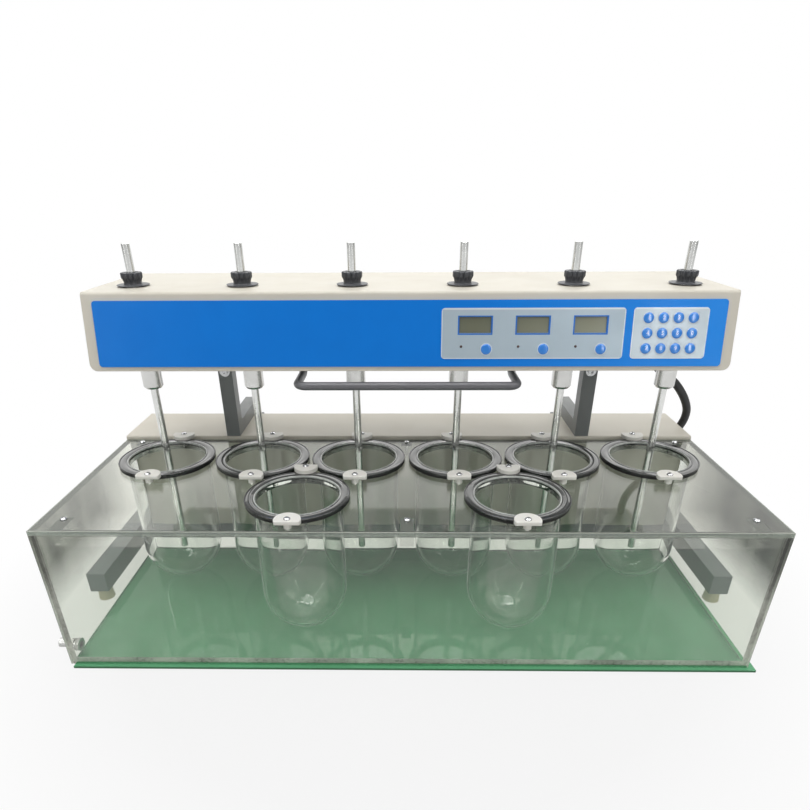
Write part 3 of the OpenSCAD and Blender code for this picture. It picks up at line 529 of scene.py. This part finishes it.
def lit_through(sheet, skin, faint=0.0):
    """Lets lamp light pass a clear piece. Faint parts of it are hardly seen."""
    clear = sheet.add("ShaderNodeBsdfTransparent", {"Color": (0.985, 0.99, 0.985, 1)})
    path = sheet.add("ShaderNodeLightPath").outputs
    passing = sheet.most(path["Is Shadow Ray"], path["Is Diffuse Ray"], faint)
    sheet.surface(sheet.either(passing, skin, clear))


def lid_contact(sheet, split, off, sides):
    """Where the lid lies flat on the sheets and screw blocks, which light goes straight through."""
    half = BLOCK_HALF + THIN
    level = sheet.under(sheet.gap(split["Z"], LID_LOW), NEAR)

    def ends(front, back):
        return sheet.most(sheet.under(split["Y"], front), sheet.over(split["Y"], back))

    along = sheet.most(sheet.under(off, half), sheet.under(sheet.gap(off, LID_SCREW_X), half))
    on_block = sheet.times(along, ends(LID_SCREW_Y[0] + half, LID_SCREW_Y[1] - half))
    on_ends = ends(TANK_LOW.y + WALL + NEAR, TANK_HIGH.y - WALL - NEAR)
    return sheet.times(level, sheet.most(sides, on_ends, on_block))


def clear_acrylic():
    """The tank's sheets: nearly clear, with painted shade and reflection: a lid painted greyer to the right,
    and painted reflections of a darker room in clouds down the sides.
    """
    material, sheet, skin = finish_of("tank_acrylic")
    place = sheet.place()
    split = sheet.split(place)
    off = sheet.gap(split["X"], 0.0)
    sides = sheet.over(off, TANK_HIGH.x - WALL - NEAR)
    top = sheet.over(split["Z"], LID_LOW - NEAR)
    right = sheet.over(split["X"], 0.0)
    # Painted reflection and shade: grey clouds on the upper front of the side sheets, darker on the right
    # side, paler low down and to the back.
    cloud = sheet.noise(sheet.stretch(place, (1.0, 2.2, 0.7), (0.8, 0.0, 0.0)), 13.0, 5.0, 0.6)
    dark = sheet.mix(right, colour(66, 68, 61), colour(48, 51, 45))
    pale = sheet.mix(right, colour(140, 142, 133), colour(112, 116, 106))
    side_painted_reflection = sheet.mix(sheet.span(cloud, 0.36, 0.66), dark, pale)
    lower = sheet.most(sheet.span(split["Z"], 0.145, 0.085), sheet.span(split["Y"], -0.06, 0.06))
    shade = sheet.mix(sides, colour(242, 244, 238), sheet.mix(lower, side_painted_reflection, colour(243, 244, 239)))
    # Painted shade: the lid greys towards its right end.
    lid = sheet.mix(sheet.span(split["X"], 0.0, 0.42), colour(254, 255, 248), colour(206, 207, 199))
    marks = sheet.group(SCRATCHES, Scale=30.0, Amount=1.0)
    sheet.feed(skin, Base_Color=sheet.mix(top, shade, lid), Transmission_Weight=1.0, IOR=1.49,
               Sheen_Weight=0.12, Roughness=sheet.plus(sheet.times(marks["Mask"], 0.1), 0.004))
    blocks = sheet.times(
        sheet.under(off, TANK_HIGH.x - WALL - NEAR), sheet.under(split["Y"], TANK_HIGH.y - WALL - NEAR),
        sheet.over(split["Y"], TANK_LOW.y + WALL + NEAR), sheet.over(split["Z"], TANK_LOW.z + 2 * FLOOR_T),
        sheet.less(1.0, top))
    lit_through(sheet, skin, sheet.most(sheet.times(blocks, 0.85), lid_contact(sheet, split, off, sides)))
    return material


def vessel_glass():
    material, sheet, skin = finish_of("vessel_glass")
    marks = sheet.group(SCRATCHES, Scale=60.0, Amount=1.0)
    haze = sheet.times(marks["Haze"], 0.25)
    sheet.feed(skin, Base_Color=sheet.mix(haze, colour(248, 250, 248), colour(240, 244, 241)),
               Roughness=sheet.times(marks["Mask"], 0.03), Transmission_Weight=1.0, IOR=1.47,
               Sheen_Weight=0.9, Sheen_Roughness=0.2)
    lit_through(sheet, skin)
    return material


def blue_sheet():
    """Blue sheet with painted light that lightens it to the right, and with lighter edges."""
    material, sheet, skin = finish_of("blue_sheet")
    made = skinned(sheet, MOULDED, (6, 132, 236), (2, 126, 229), 0.35, 3200)
    rim = sheet.group(EDGES, Radius=EDGE)
    split = sheet.split(sheet.place())
    # Painted light: the blue lightens towards the right end of the head.
    shade = sheet.mix(sheet.span(split["X"], 0.05, HEAD_HIGH.x), made["Color"], colour(34, 150, 252))
    shade = sheet.mix(sheet.times(rim["Mask"], 0.5), shade, colour(96, 170, 236))
    sheet.feed(skin, Base_Color=shade, Roughness=made["Roughness"], Specular_IOR_Level=0.25)
    sheet.relief(skin, made["Height"], 0.03, rim["Normal"])
    return material


def silver_film(name, shade_a, shade_b, outlines):
    """Silver-grey membrane film with printed outlines: (colour, middle x, middle z, half x, half z)."""
    material, sheet, skin = finish_of(name)
    made = skinned(sheet, MOULDED, shade_a, shade_b, 0.4, 3600)
    shade = made["Color"]
    for print_colour, x, z, half_x, half_z in outlines:
        line = sheet.group(OUTLINE, Middle_X=x, Middle_Z=z, Half_X=half_x, Half_Z=half_z, Line=PRINT_LINE)
        shade = sheet.mix(line["Mask"], shade, print_colour)
    sheet.feed(skin, Base_Color=shade, Roughness=made["Roughness"], Metallic=0.3)
    sheet.relief(skin, made["Height"], 0.05)
    return material


def display_glass():
    """An unlit display: olive grey, with painted light that makes it lighter to the right and painted shade
    that makes it darker to the top.
    """
    material, sheet, skin = finish_of("display_glass")
    split = sheet.split(sheet.place())
    made = skinned(sheet, MOULDED, (122, 124, 102), (114, 117, 96), 0.12, 2200)
    # Painted light: lighter towards the right.
    side = sheet.span(split["X"], LCD_X[0], LCD_X[2] + 0.02)
    up = sheet.span(split["Z"], HEAD_LOW.z + 0.04, HEAD_LOW.z + 0.062)
    shade = sheet.mix(sheet.times(side, 0.75), made["Color"], colour(174, 175, 154))
    # Painted shade: darker towards the top.
    shade = sheet.mix(sheet.times(up, 0.3), shade, colour(82, 86, 72))
    sheet.feed(skin, Base_Color=shade, Roughness=made["Roughness"], Coat_Weight=0.5)
    sheet.relief(skin, made["Height"], 0.02, depth=0.0001)
    return material


MAT_GREEN = green_mat()
ACRYLIC = clear_acrylic()
VESSEL_GLASS = vessel_glass()
BLUE = blue_sheet()
DISPLAY = display_glass()

PRINT_LINE = 0.0009  # half the width of a printed line
PRINT_BLUE, PRINT_PALE = colour(44, 112, 196), colour(214, 224, 228)
DISPLAY_HALF, KEYPAD_HALF = 0.1052, 0.0427  # of the pale outlines, along X
WINDOW_OUT, FILM_IN = 0.0008, 0.0006  # outside a display window, and inside the film's own edge
LCD_Z = HEAD_LOW.z + LCD_UP * FACE_SIN
FILM_Z = HEAD_LOW.z + (MEMBRANE_LOW + MEMBRANE_H / 2) * FACE_SIN
FILM_HALF = MEMBRANE_H / 2 * FACE_SIN - FILM_IN
DISPLAY_FILM = silver_film(
    "display_film", (180, 196, 206), (171, 187, 198),
    [(PRINT_PALE, DISPLAY_X, FILM_Z, DISPLAY_HALF, FILM_HALF)]
    + [(PRINT_BLUE, x, LCD_Z, LCD_W / 2 + WINDOW_OUT, LCD_H / 2 * FACE_SIN + WINDOW_OUT) for x in LCD_X])
# Painted light: the keypad's copy of the silver film is a lighter shade than the display's, for the light on
# the head's right end.
KEYPAD_FILM_PAINTED_LIGHT = silver_film("keypad_film_painted_light", (199, 211, 218), (189, 202, 210),
                          [(PRINT_PALE, KEYPAD_X, FILM_Z, KEYPAD_HALF, FILM_HALF)])

# -------- mesh makers


def new_object(name, mesh):
    piece = bpy.data.objects.new(name, mesh)
    bpy.context.collection.objects.link(piece)
    return piece


def made_real(carrier, name, *spares):
    """The mesh of an object with its modifiers or letters worked out. The object and its helpers go."""
    bpy.context.view_layer.update()
    mesh = bpy.data.meshes.new_from_object(carrier.evaluated_get(bpy.context.evaluated_depsgraph_get()))
    mesh.name = name
    for spare in (carrier, *spares):
        bpy.data.objects.remove(spare)
    return mesh


def mesh_from(bm, name, smooth_angle=None):
    bmesh.ops.recalc_face_normals(bm, faces=bm.faces)
    mesh = bpy.data.meshes.new(name)
    bm.to_mesh(mesh)
    bm.free()
    if smooth_angle is not None:
        mesh.shade_smooth()
        mesh.set_sharp_from_angle(angle=math.radians(smooth_angle))
    return mesh


def lathe(name, profile, turns=64, radius=None, smooth_angle=40):
    """A solid turned about z from (radius, height) points. radius(angle, height, r) may wave it."""
    bm = bmesh.new()
    rings = []
    for r, z in profile:
        if r < 1e-6:
            rings.append([bm.verts.new((0, 0, z))])
            continue
        ring = []
        for k in range(turns):
            a = 2 * math.pi * k / turns
            rr = radius(a, z, r) if radius else r
            ring.append(bm.verts.new((rr * math.cos(a), rr * math.sin(a), z)))
        rings.append(ring)
    closed = profile[0][0] > 1e-6 and profile[-1][0] > 1e-6
    pairs = list(zip(rings, rings[1:])) + ([(rings[-1], rings[0])] if closed else [])
    for a, b in pairs:
        for k in range(turns):
            j = (k + 1) % turns
            face = [a[k % len(a)], a[j % len(a)], b[j % len(b)], b[k % len(b)]]
            bm.faces.new(list(dict.fromkeys(face)))
    return mesh_from(bm, name, smooth_angle)


def arc(cx, cz, r, start, end, steps):
    """Points on a circle, angles in degrees."""
    return [(cx + r * math.cos(math.radians(start + (end - start) * k / steps)),
             cz + r * math.sin(math.radians(start + (end - start) * k / steps))) for k in range(steps + 1)]


def repeat_tree():
    """Geometry Nodes: one shape at every point, made real and given its finish."""
    tree = bpy.data.node_groups.new("repeat_at_points", "GeometryNodeTree")
    for key, kind in (("Geometry", "Geometry"), ("Shape", "Object"), ("Finish", "Material")):
        tree.interface.new_socket(name=key, in_out="INPUT", socket_type="NodeSocket" + kind)
    tree.interface.new_socket(name="Geometry", in_out="OUTPUT", socket_type="NodeSocketGeometry")
    sheet = Sheet(tree)
    put = sheet.add("NodeGroupInput").outputs
    shape = sheet.add("GeometryNodeObjectInfo", {"Object": put["Shape"]})
    copies = sheet.add("GeometryNodeInstanceOnPoints",
                       {"Points": put["Geometry"], "Instance": shape.outputs["Geometry"]})
    real = sheet.add("GeometryNodeRealizeInstances", {"Geometry": copies.outputs[0]})
    done = sheet.add("GeometryNodeSetMaterial", {"Geometry": real.outputs[0], "Material": put["Finish"]})
    sheet.add("NodeGroupOutput", {"Geometry": done.outputs[0]})
    return tree


REPEAT = repeat_tree()


def repeated(name, shape_mesh, points, finish):
    """A plain mesh object with a copy of the shape at every point."""
    shape = new_object(name + "_shape", shape_mesh)
    seeds = bpy.data.meshes.new(name + "_points")
    seeds.from_pydata([tuple(p) for p in points], [], [])
    carrier = new_object(name + "_carrier", seeds)
    modifier = carrier.modifiers.new("repeat", "NODES")
    modifier.node_group = REPEAT
    keys = {item.name: item.identifier for item in REPEAT.interface.items_tree if item.in_out == "INPUT"}
    modifier[keys["Shape"]] = shape
    modifier[keys["Finish"]] = finish
    return new_object(name, made_real(carrier, name, shape))


def dress(piece, body, slot, finish=None, *nodes):
    """Puts a finished piece on its body, with its finish, and hides the solids that it stands for. The slot
    is not used.
    """
    if finish is not None:
        piece.data.materials.clear()
        piece.data.materials.append(finish)
    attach(piece, body)
    if nodes:
        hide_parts(*nodes)


# -------- glass vessels


def vessel_mesh():
    """A straight glass wall on a round bottom, whose inside dips a little round the middle."""
    inner = VESSEL_R - GLASS
    top = RIM_TOP - VESSEL_BOTTOM - RIM_T - 0.00002
    shape = [(0.0, 0.0)] + arc(0, VESSEL_R, VESSEL_R, -90, 0, 30)[1:]
    shape += [(VESSEL_R, top), (inner, top), (inner, VESSEL_R + 0.06)]
    for r, z in arc(0, VESSEL_R, inner, 0, -90, 30)[:-1]:
        shape.append((r, z - 0.0006 * math.exp(-((r - 0.010) / 0.004) ** 2)))
    shape.append((0.0, VESSEL_R - inner))
    return lathe("vessel_shape", shape, 96, smooth_angle=35)


def rim_mesh():
    """The ground rim, crowned on top, with a groove before the inner lip."""
    inner, outer = VESSEL_R - GLASS + 0.0017, RIM_R - 0.0017
    groove, crown = inner + 0.0016, 0.0007
    half = (outer - groove) / 2
    shape = [(inner, -RIM_T), (outer, -RIM_T)]
    for k in range(9):
        t = 1 - k / 4
        shape.append((groove + half * (1 + t), -crown * t * t))
    shape += [(groove - 0.0003, -0.0013), (inner, -0.0013)]
    return lathe("rim_shape", shape, 128, smooth_angle=30)


def rim_edge_mesh():
    """The rounded outer edge of the rim, dark as the seal below it."""
    inner, outer = RIM_R - 0.00168, RIM_R
    shape = [(inner, -RIM_T)] + arc(outer - 0.0009, 0.0009 - RIM_T, 0.0009, -90, 0, 4)
    shape += arc(outer - 0.0011, -0.0011, 0.0011, 0, 90, 6) + [(inner, 0.0)]
    return lathe("rim_edge_shape", shape, 128, smooth_angle=50)


def rim_lip_mesh():
    """The fire-polished inner lip of the rim, painted pale as a highlight."""
    inner, outer = VESSEL_R - GLASS, VESSEL_R - GLASS + 0.00168
    middle_r = (inner + outer) / 2
    shape = [(inner, -RIM_T), (outer, -RIM_T)] + arc(middle_r, -0.0009, outer - middle_r, 0, 180, 10)
    return lathe("rim_lip_shape", shape, 128, smooth_angle=50)


vessels = repeated("vessels_glass", vessel_mesh(), [(v.x, v.y, VESSEL_BOTTOM) for v in VESSELS], VESSEL_GLASS)
dress(vessels, "base", "vessel_glass", None, "vessels")
rim_points = [(v.x, v.y, RIM_TOP) for v in VESSELS]
dress(repeated("vessel_rims", rim_mesh(), rim_points, GROUND_RIM), "base", "vessel_glass")
dress(repeated("vessel_rim_edges", rim_edge_mesh(), rim_points, RIM_DARK), "base", "vessel_glass")
dress(repeated("vessel_rim_lips", rim_lip_mesh(), rim_points, LIP_PAINTED_HIGHLIGHT), "base", "vessel_glass")

# -------- glue lines and sawn edges of the tank


def slabs(name, boxes):
    """Flat plates between (low corner, high corner) pairs, in one mesh."""
    bm = bmesh.new()
    for lo, hi in boxes:
        cube = bmesh.ops.create_cube(bm, size=1.0)
        bmesh.ops.scale(bm, vec=Vector(hi) - Vector(lo), verts=cube["verts"])
        bmesh.ops.translate(bm, vec=(Vector(hi) + Vector(lo)) / 2, verts=cube["verts"])
    return new_object(name, mesh_from(bm, name))


def on_side(side, a, b):
    """Two distances from the middle as a low and a high X on the left or right."""
    return sorted((side * a, side * b))


def glue_boxes():
    """The joints of the four upright sheets with each other and with the floor."""
    x, z0 = TANK_HIGH.x, TANK_LOW.z
    y0, y1 = TANK_LOW.y + WALL, TANK_HIGH.y - WALL
    near, far = 0.00002, 0.00008
    for a, b in ((y0 + near, y0 + far), (y1 - far, y1 - near)):
        for side in (-1, 1):
            left, right = on_side(side, x, x - WALL)
            yield (left, a, z0), (right, b, LID_LOW)
        yield (WALL - x, a, z0), (x - WALL, b, z0 + FLOOR_T)
    for side in (-1, 1):
        left, right = on_side(side, x - WALL - near, x - WALL - far)
        yield (left, y0 + WALL, z0), (right, y1 - WALL, z0 + FLOOR_T)


def lid_edge_boxes():
    """Just under the lid's four outer edges."""
    x, y0, y1 = TANK_HIGH.x - SKIN, TANK_LOW.y + SKIN, TANK_HIGH.y - SKIN
    z0, z1 = LID_LOW + SKIN, LID_TOP - SKIN
    yield (-x, y0, z0), (x, y0 + THIN, z1)
    yield (-x, y1 - THIN, z0), (x, y1, z1)
    for side in (-1, 1):
        left, right = on_side(side, x, x - THIN)
        yield (left, y0 + SKIN, z0), (right, y1 - SKIN, z1)


def sawn_boxes():
    """Just under the ends of the front and back sheets."""
    x, z0, z1 = TANK_HIGH.x - SKIN, TANK_LOW.z + SKIN, LID_LOW - SKIN
    for side in (-1, 1):
        left, right = on_side(side, x, x - THIN)
        for y in (TANK_LOW.y, TANK_HIGH.y - WALL):
            yield (left, y + SKIN, z0), (right, y + WALL - SKIN, z1)


def sheet_top_boxes():
    """Just under the upper edges of the four sheets."""
    x, y0, y1 = TANK_HIGH.x, TANK_LOW.y, TANK_HIGH.y - WALL
    z0, z1 = LID_LOW - SKIN - THIN, LID_LOW - SKIN
    for side in (-1, 1):
        left, right = on_side(side, x - SKIN, x - WALL + SKIN)
        yield (left, y0 + WALL + SKIN, z0), (right, y1 - SKIN, z1)
    for y in (y0, y1):
        yield (2 * SKIN - x, y + SKIN, z0), (x - 2 * SKIN, y + WALL - SKIN, z1)


def block_top_boxes():
    """Just under the upper faces of the six screw blocks."""
    half = BLOCK_HALF - 2 * THIN
    z0, z1 = LID_LOW - SKIN - THIN, LID_LOW - SKIN
    front, back = LID_SCREW_Y
    for x in (-LID_SCREW_X, 0.0, LID_SCREW_X):
        yield (x - half, TANK_LOW.y + WALL + SKIN, z0), (x + half, front + half, z1)
        yield (x - half, back - half, z0), (x + half, TANK_HIGH.y - WALL - SKIN, z1)


def arris_highlight_boxes():
    """Pale lines painted as highlights along the broken upper edges of the lid and the outer upright corners.
    """
    x, y0, y1, wide = TANK_HIGH.x - THIN, TANK_LOW.y + THIN, TANK_HIGH.y - THIN, 0.0007
    z1 = LID_TOP - THIN
    z0 = z1 - wide
    yield (-x, y0, z0), (x, y0 + wide, z1)
    yield (-x, y1 - wide, z0), (x, y1, z1)
    for side in (-1, 1):
        left, right = on_side(side, x, x - wide)
        yield (left, y0 + wide, z0), (right, y1 - wide, z1)
        yield (left, y0, TANK_LOW.z + THIN), (right, y0 + wide, LID_LOW - THIN)


for name, boxes, finish in (
        ("tank_glue", glue_boxes(), GLUE_GREY), ("tank_sawn_edges", sawn_boxes(), SAWN_EDGE_AND_GLOW),
        ("tank_lid_edges", lid_edge_boxes(), LID_EDGE), ("tank_sheet_tops", sheet_top_boxes(), SHEET_TOP),
        ("tank_block_tops", block_top_boxes(), BLOCK_TOP), ("tank_arrises", arris_highlight_boxes(), ARRIS_PAINTED_HIGHLIGHT)):
    dress(slabs(name, boxes), "base", "acrylic", finish)

# -------- turn clips and tank screws


def clip_mesh(name):
    """A thick disc with one flat on a short boss, its edges broken."""
    out = -1 if name.endswith("front") else 1
    flat = abs((low(name) if out < 0 else high(name)).y - clip_axis(name).y)
    start = math.asin(flat / CLIP_R)
    corner = CLIP_R * math.cos(start)
    bm = bmesh.new()
    rim = [(CLIP_R * math.cos(a), CLIP_R * math.sin(a))
           for a in (math.pi - start + (math.pi + 2 * start) * k / 48 for k in range(49))]
    lower = [bm.verts.new((x, y * out, RIM_TOP)) for x, y in rim]
    upper = [bm.verts.new((x, y * out, high(name).z)) for x, y in rim]
    n = len(rim)
    for k in range(n):
        bm.faces.new((lower[k], lower[(k + 1) % n], upper[(k + 1) % n], upper[k]))
    bm.faces.new(lower)
    bm.faces.new(upper)

    def broken(edge):
        a, b = (v.co for v in edge.verts)
        at_flat = abs(abs(a.y) - flat) < 1e-5 and abs(abs(a.x) - corner) < 1e-5
        return abs(a.z - b.z) < 1e-6 or (a.xy - b.xy).length < 1e-6 and at_flat

    edges = [edge for edge in bm.edges if broken(edge)]
    bmesh.ops.bevel(bm, geom=edges, offset=0.0009, segments=3, profile=0.5, affect="EDGES")
    boss_top = RIM_TOP + 0.0002
    boss = bmesh.ops.create_cone(bm, cap_ends=True, segments=48, radius1=CLIP_BOSS_R, radius2=CLIP_BOSS_R,
                                 depth=boss_top - LID_TOP)
    bmesh.ops.translate(bm, verts=boss["verts"], vec=(0, 0, (LID_TOP + boss_top) / 2))
    mesh = mesh_from(bm, name + "_shape", 35)
    mesh.transform(Matrix.Translation(clip_axis(name)))
    return mesh


for clip in CLIPS:
    dress(new_object(clip + "_nylon", clip_mesh(clip)), clip, "clip_plastic", CLIP_WHITE, clip)


def screw_mesh(shank):
    """A domed head with a cross recess, on a shank."""
    shape = [(0.0, -shank), (SCREW_R / 2, -shank), (SCREW_R / 2, 0.0), (SCREW_R, 0.0), (SCREW_R, 0.0009)]
    shape += arc(0, -0.0022, 0.0051, 37, 88, 8)[1:] + [(0.0, SCREW_DOME)]
    body = new_object("screw_body", lathe("screw_shape", shape, 40))
    cross = bmesh.new()
    for size in ((0.0044, 0.0009, 0.003), (0.0009, 0.0044, 0.003)):
        bar = bmesh.ops.create_cube(cross, size=1.0)
        bmesh.ops.scale(cross, vec=size, verts=bar["verts"])
        bmesh.ops.translate(cross, vec=(0, 0, SCREW_DOME), verts=bar["verts"])
    cutter = new_object("screw_cross", mesh_from(cross, "screw_cross"))
    cut = body.modifiers.new("cut", "BOOLEAN")
    cut.object = cutter
    cut.operation = "DIFFERENCE"
    cut.use_self = True
    return made_real(body, "screw_shape_cut", cutter)


screw_points = [(x * LID_SCREW_X, y, LID_TOP) for x in (-1, 0, 1) for y in LID_SCREW_Y]
screw_points += [(clip_axis(c).x, clip_axis(c).y, high(c).z) for c in CLIPS]
dress(repeated("tank_screw_heads", screw_mesh(LONG_SHANK), screw_points, SCREW_STEEL),
      "base", "screw_steel", None, "tank_screws")

# -------- fixings on the back


def facing_back(mesh):
    mesh.transform(Matrix.Rotation(-math.pi / 2, 4, "X"))
    return mesh


PANEL_LOW, PANEL_HIGH = low("back_panel"), high("back_panel")
panel_points = [(k * (PANEL_HIGH.x - 0.012), PANEL_HIGH.y, z) for k in (-1, -0.45, 0, 0.45, 1)
                for z in (PANEL_LOW.z + 0.009, PANEL_HIGH.z - 0.009)]
panel_screws = repeated("panel_screws", facing_back(screw_mesh(SHORT_SHANK)), panel_points, SCREW_STEEL)
dress(panel_screws, "base", "screw_steel")
cover_points = [(k * HEAD_HIGH.x, HEAD_HIGH.y, HEAD_LOW.z + 0.010) for k in (-0.92, -0.32, 0.32, 0.92)]
cover_screws = repeated("cover_screws", facing_back(screw_mesh(SHORT_SHANK)), cover_points, SCREW_STEEL)
dress(cover_screws, "head", "screw_steel")
bolt_shape = [(0.0, -0.002), (0.0025, -0.002), (0.0025, 0.0), (0.0046, 0.0), (0.0046, 0.0028),
              (0.0041, 0.0033), (0.0, 0.0034)]
bolt_points = [(middle(arm).x, low("hinge_brackets").y + 0.004, low("hinge_brackets").z + up)
               for arm in ("left_arm", "right_arm") for up in (0.009, 0.022)]
bolt = facing_back(lathe("bolt_shape", bolt_shape, 6, smooth_angle=20))
dress(repeated("bracket_bolts", bolt, bolt_points, SCREW_STEEL), "base", "screw_steel")

# -------- chuck knobs


def knob_mesh(base_z, top_z):
    """A thin disc and a fluted grip that flares to its top."""
    z0 = base_z + 0.0007
    rise = top_z - z0
    bore, disc = 0.0056, 0.019
    shape = [(bore, base_z), (disc - 0.0002, base_z), (disc, base_z + 0.0002), (disc, base_z + 0.0005),
             (disc - 0.0002, z0)]
    shape += [(0.0112, z0), (0.0106, z0 + 0.0006)]
    shape += [(r, z0 + share * rise) for r, share in (
        (0.0104, 0.14), (0.0106, 0.3), (0.0113, 0.44), (0.0122, 0.54), (0.0125, 0.6), (0.0125, 0.92),
        (0.0122, 0.98), (0.0116, 1), (0.0085, 1))]
    shape += [(0.0080, top_z - 0.0006), (0.0062, top_z - 0.0006), (bore, top_z - 0.0012)]

    def fluted(angle, z, r):
        t = (z - z0) / rise
        if t < 0.2 or r < 0.0095:
            return r
        depth = 0.0015 * min(1.0, (t - 0.2) / 0.3)
        return r - depth * max(0.0, math.cos(12 * angle)) ** 1.5

    return lathe("knob_shape", shape, 144, fluted, 38)


for k in range(1, 7):
    knob = f"knob_{k}"
    mesh = knob_mesh(low(knob).z, high(knob).z)
    mesh.transform(Matrix.Translation((ROW[k - 1], 0, 0)))
    dress(new_object(knob + "_grip", mesh), knob, "knob_black", KNOB_BLACK, knob)

# -------- keys, numbers and lamps of the panel


def faced(mesh):
    """Turns a shape made lying flat so that it stands on the head's sloping front."""
    mesh.transform(FACE_TURN)
    return mesh


KEY_SHAPE = [(0.0, -0.0004), (0.0060, -0.0004), (0.0060, 0.0002), (0.0058, 0.0006), (0.0053, 0.0010),
             (0.0046, 0.00128), (0.0036, 0.0014), (0.0, 0.00145)]
RING_SHAPE = [(0.0058, -0.0003), (0.0072, -0.0003), (0.0072, 0.00008), (0.0070, 0.00016), (0.0058, 0.00016)]
LAMP_SHAPE = [(0.0, -0.0003), (0.0016, -0.0003), (0.0016, 0.0002), (0.0011, 0.0006), (0.0, 0.0008)]
for name, shape, turns, places, finish, slot in (
        ("key_domes", KEY_SHAPE, 40, SET_KEYS + PAD_KEYS, KEY_BLUE, "panel_blue"),
        ("key_borders", RING_SHAPE, 40, SET_KEYS + PAD_KEYS, KEY_RING, "membrane_grey"),
        ("set_lamps", LAMP_SHAPE, 20, SET_LAMPS, LAMP_DARK, "lcd_grey")):
    points = [on_face(x, up, PANEL_OUT) for x, up in places]
    dress(repeated(name, faced(lathe(name + "_lathe", shape, turns)), points, finish), "head", slot)


def key_numbers():
    """Plain numbers on ten of the keys, as thin printed sheets."""
    bm = bmesh.new()
    for mark, (x, up) in zip(("1", "2", "3", None, "4", "5", "6", "0", "7", "8", "9", None), PAD_KEYS):
        if mark is None:
            continue
        letters = bpy.data.curves.new("number", "FONT")
        letters.body = mark
        letters.size = 0.0058
        letters.extrude = 0.00006
        letters.align_x, letters.align_y = "CENTER", "CENTER"
        mesh = made_real(new_object("number", letters), "number")
        mesh.transform(FACE @ Matrix.Translation((x, up, PANEL_OUT + 0.0014)))
        bm.from_mesh(mesh)
        bpy.data.meshes.remove(mesh)
    mesh = bpy.data.meshes.new("key_numbers")
    bm.to_mesh(mesh)
    bm.free()
    return mesh


dress(new_object("key_numbers", key_numbers()), "head", "clip_plastic", DIGIT_WHITE)

# -------- cable conduit


def smooth_path(points, steps):
    """A smooth line through the points, with steps between each two."""
    line = []
    for i in range(len(points) - 1):
        a, b, c, d = (points[max(i - 1, 0)], points[i], points[i + 1], points[min(i + 2, len(points) - 1)])
        for k in range(steps):
            t = k / steps
            line.append(0.5 * (2 * b + (c - a) * t + (2 * a - 5 * b + 4 * c - d) * t * t
                               + (3 * b - a - 3 * c + d) * t ** 3))
    return line + [points[-1]]


def swept_tube(name, path, radius, sides, finish):
    """A round closed tube along a path."""
    bm = bmesh.new()
    rings = []
    side = Vector((0, 1, 0))
    for i, p in enumerate(path):
        along = (path[min(i + 1, len(path) - 1)] - path[max(i - 1, 0)]).normalized()
        side = (side - along * side.dot(along)).normalized()
        other = along.cross(side)
        rings.append([bm.verts.new(p + radius * (side * math.cos(a) + other * math.sin(a)))
                      for a in (2 * math.pi * k / sides for k in range(sides))])
    for a, b in zip(rings, rings[1:]):
        for k in range(sides):
            bm.faces.new((a[k], a[(k + 1) % sides], b[(k + 1) % sides], b[k]))
    bm.faces.new(rings[0])
    bm.faces.new(rings[-1])
    mesh = mesh_from(bm, name, 50)
    mesh.materials.append(finish)
    return new_object(name, mesh)


HEAD_X, HOUSING_X = HEAD_HIGH.x - 0.0205, high("housing").x
LEDGE_Z, LEDGE_Y = high("housing").z, low("housing").y
CONDUIT_SHAPE = [  # share of the way in X, Y in mm behind the ledge's front, share of the rise
    (0, 38, 1), (0, 38, 0.91), (0.04, 38, 0.8), (0.16, 39, 0.69), (0.31, 40.5, 0.625), (0.5, 43, 0.56),
    (0.69, 46, 0.49), (0.87, 50, 0.4), (1.03, 54, 0.3), (1.15, 58, 0.2), (1.205, 61, 0.12),
    (1.205, 63, 0.03), (1.155, 64, -0.05), (1.06, 64, -0.125), (0.93, 64, -0.185), (0.765, 64, -0.235)]
conduit_points = [
    Vector((HEAD_X + (HOUSING_X - HEAD_X) * fx, LEDGE_Y + y / 1000, LEDGE_Z + (HEAD_LOW.z - LEDGE_Z) * h))
    for fx, y, h in CONDUIT_SHAPE]
conduit_path = smooth_path(conduit_points, 5)
conduit_length = sum((b - a).length for a, b in zip(conduit_path, conduit_path[1:]))
conduit = swept_tube("conduit_sheath", conduit_path, CONDUIT_R, 24, SHEATH_BLACK)
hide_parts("conduit")
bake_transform(conduit)
[tuple(p) for p in conduit_path]

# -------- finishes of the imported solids

for node, finish in {
    "tank_mat": MAT_GREEN, "tank_body": ACRYLIC, "tank_lid": ACRYLIC, "drain_fitting": DRAIN_METAL,
    "vessel_seals": SEAL_BLACK, "housing": CREAM, "back_panel": CREAM, "base_frame": GREY_PAINT,
    "frame_feet": FOOT_CREAM, "hinge_brackets": ARM_PAINT, "left_arm": ARM_PAINT, "right_arm": ARM_PAINT,
    "arm_screws": SCREW_STEEL, "head_cover": CREAM, "head_plate": PLATE_METAL, "front_panel": BLUE,
    "display_panel": DISPLAY_FILM, "keypad_panel": KEYPAD_FILM_PAINTED_LIGHT, "lcd_screens": DISPLAY,
    "handle": HANDLE_PAINT, "motor": MOTOR_PAINT, "motor_pulley": PLATE_METAL, "drive_belt": BELT_BLACK,
    **{f"spindle_{k}": SLEEVE for k in range(1, 7)}, **{f"shaft_{k}": STEEL for k in range(1, 7)},
}.items():
    for place in cad[node].material_slots:
        place.material = finish

photo_camera()
studio()
pale_floor()
bpy.context.scene.view_settings.view_transform = "Standard"
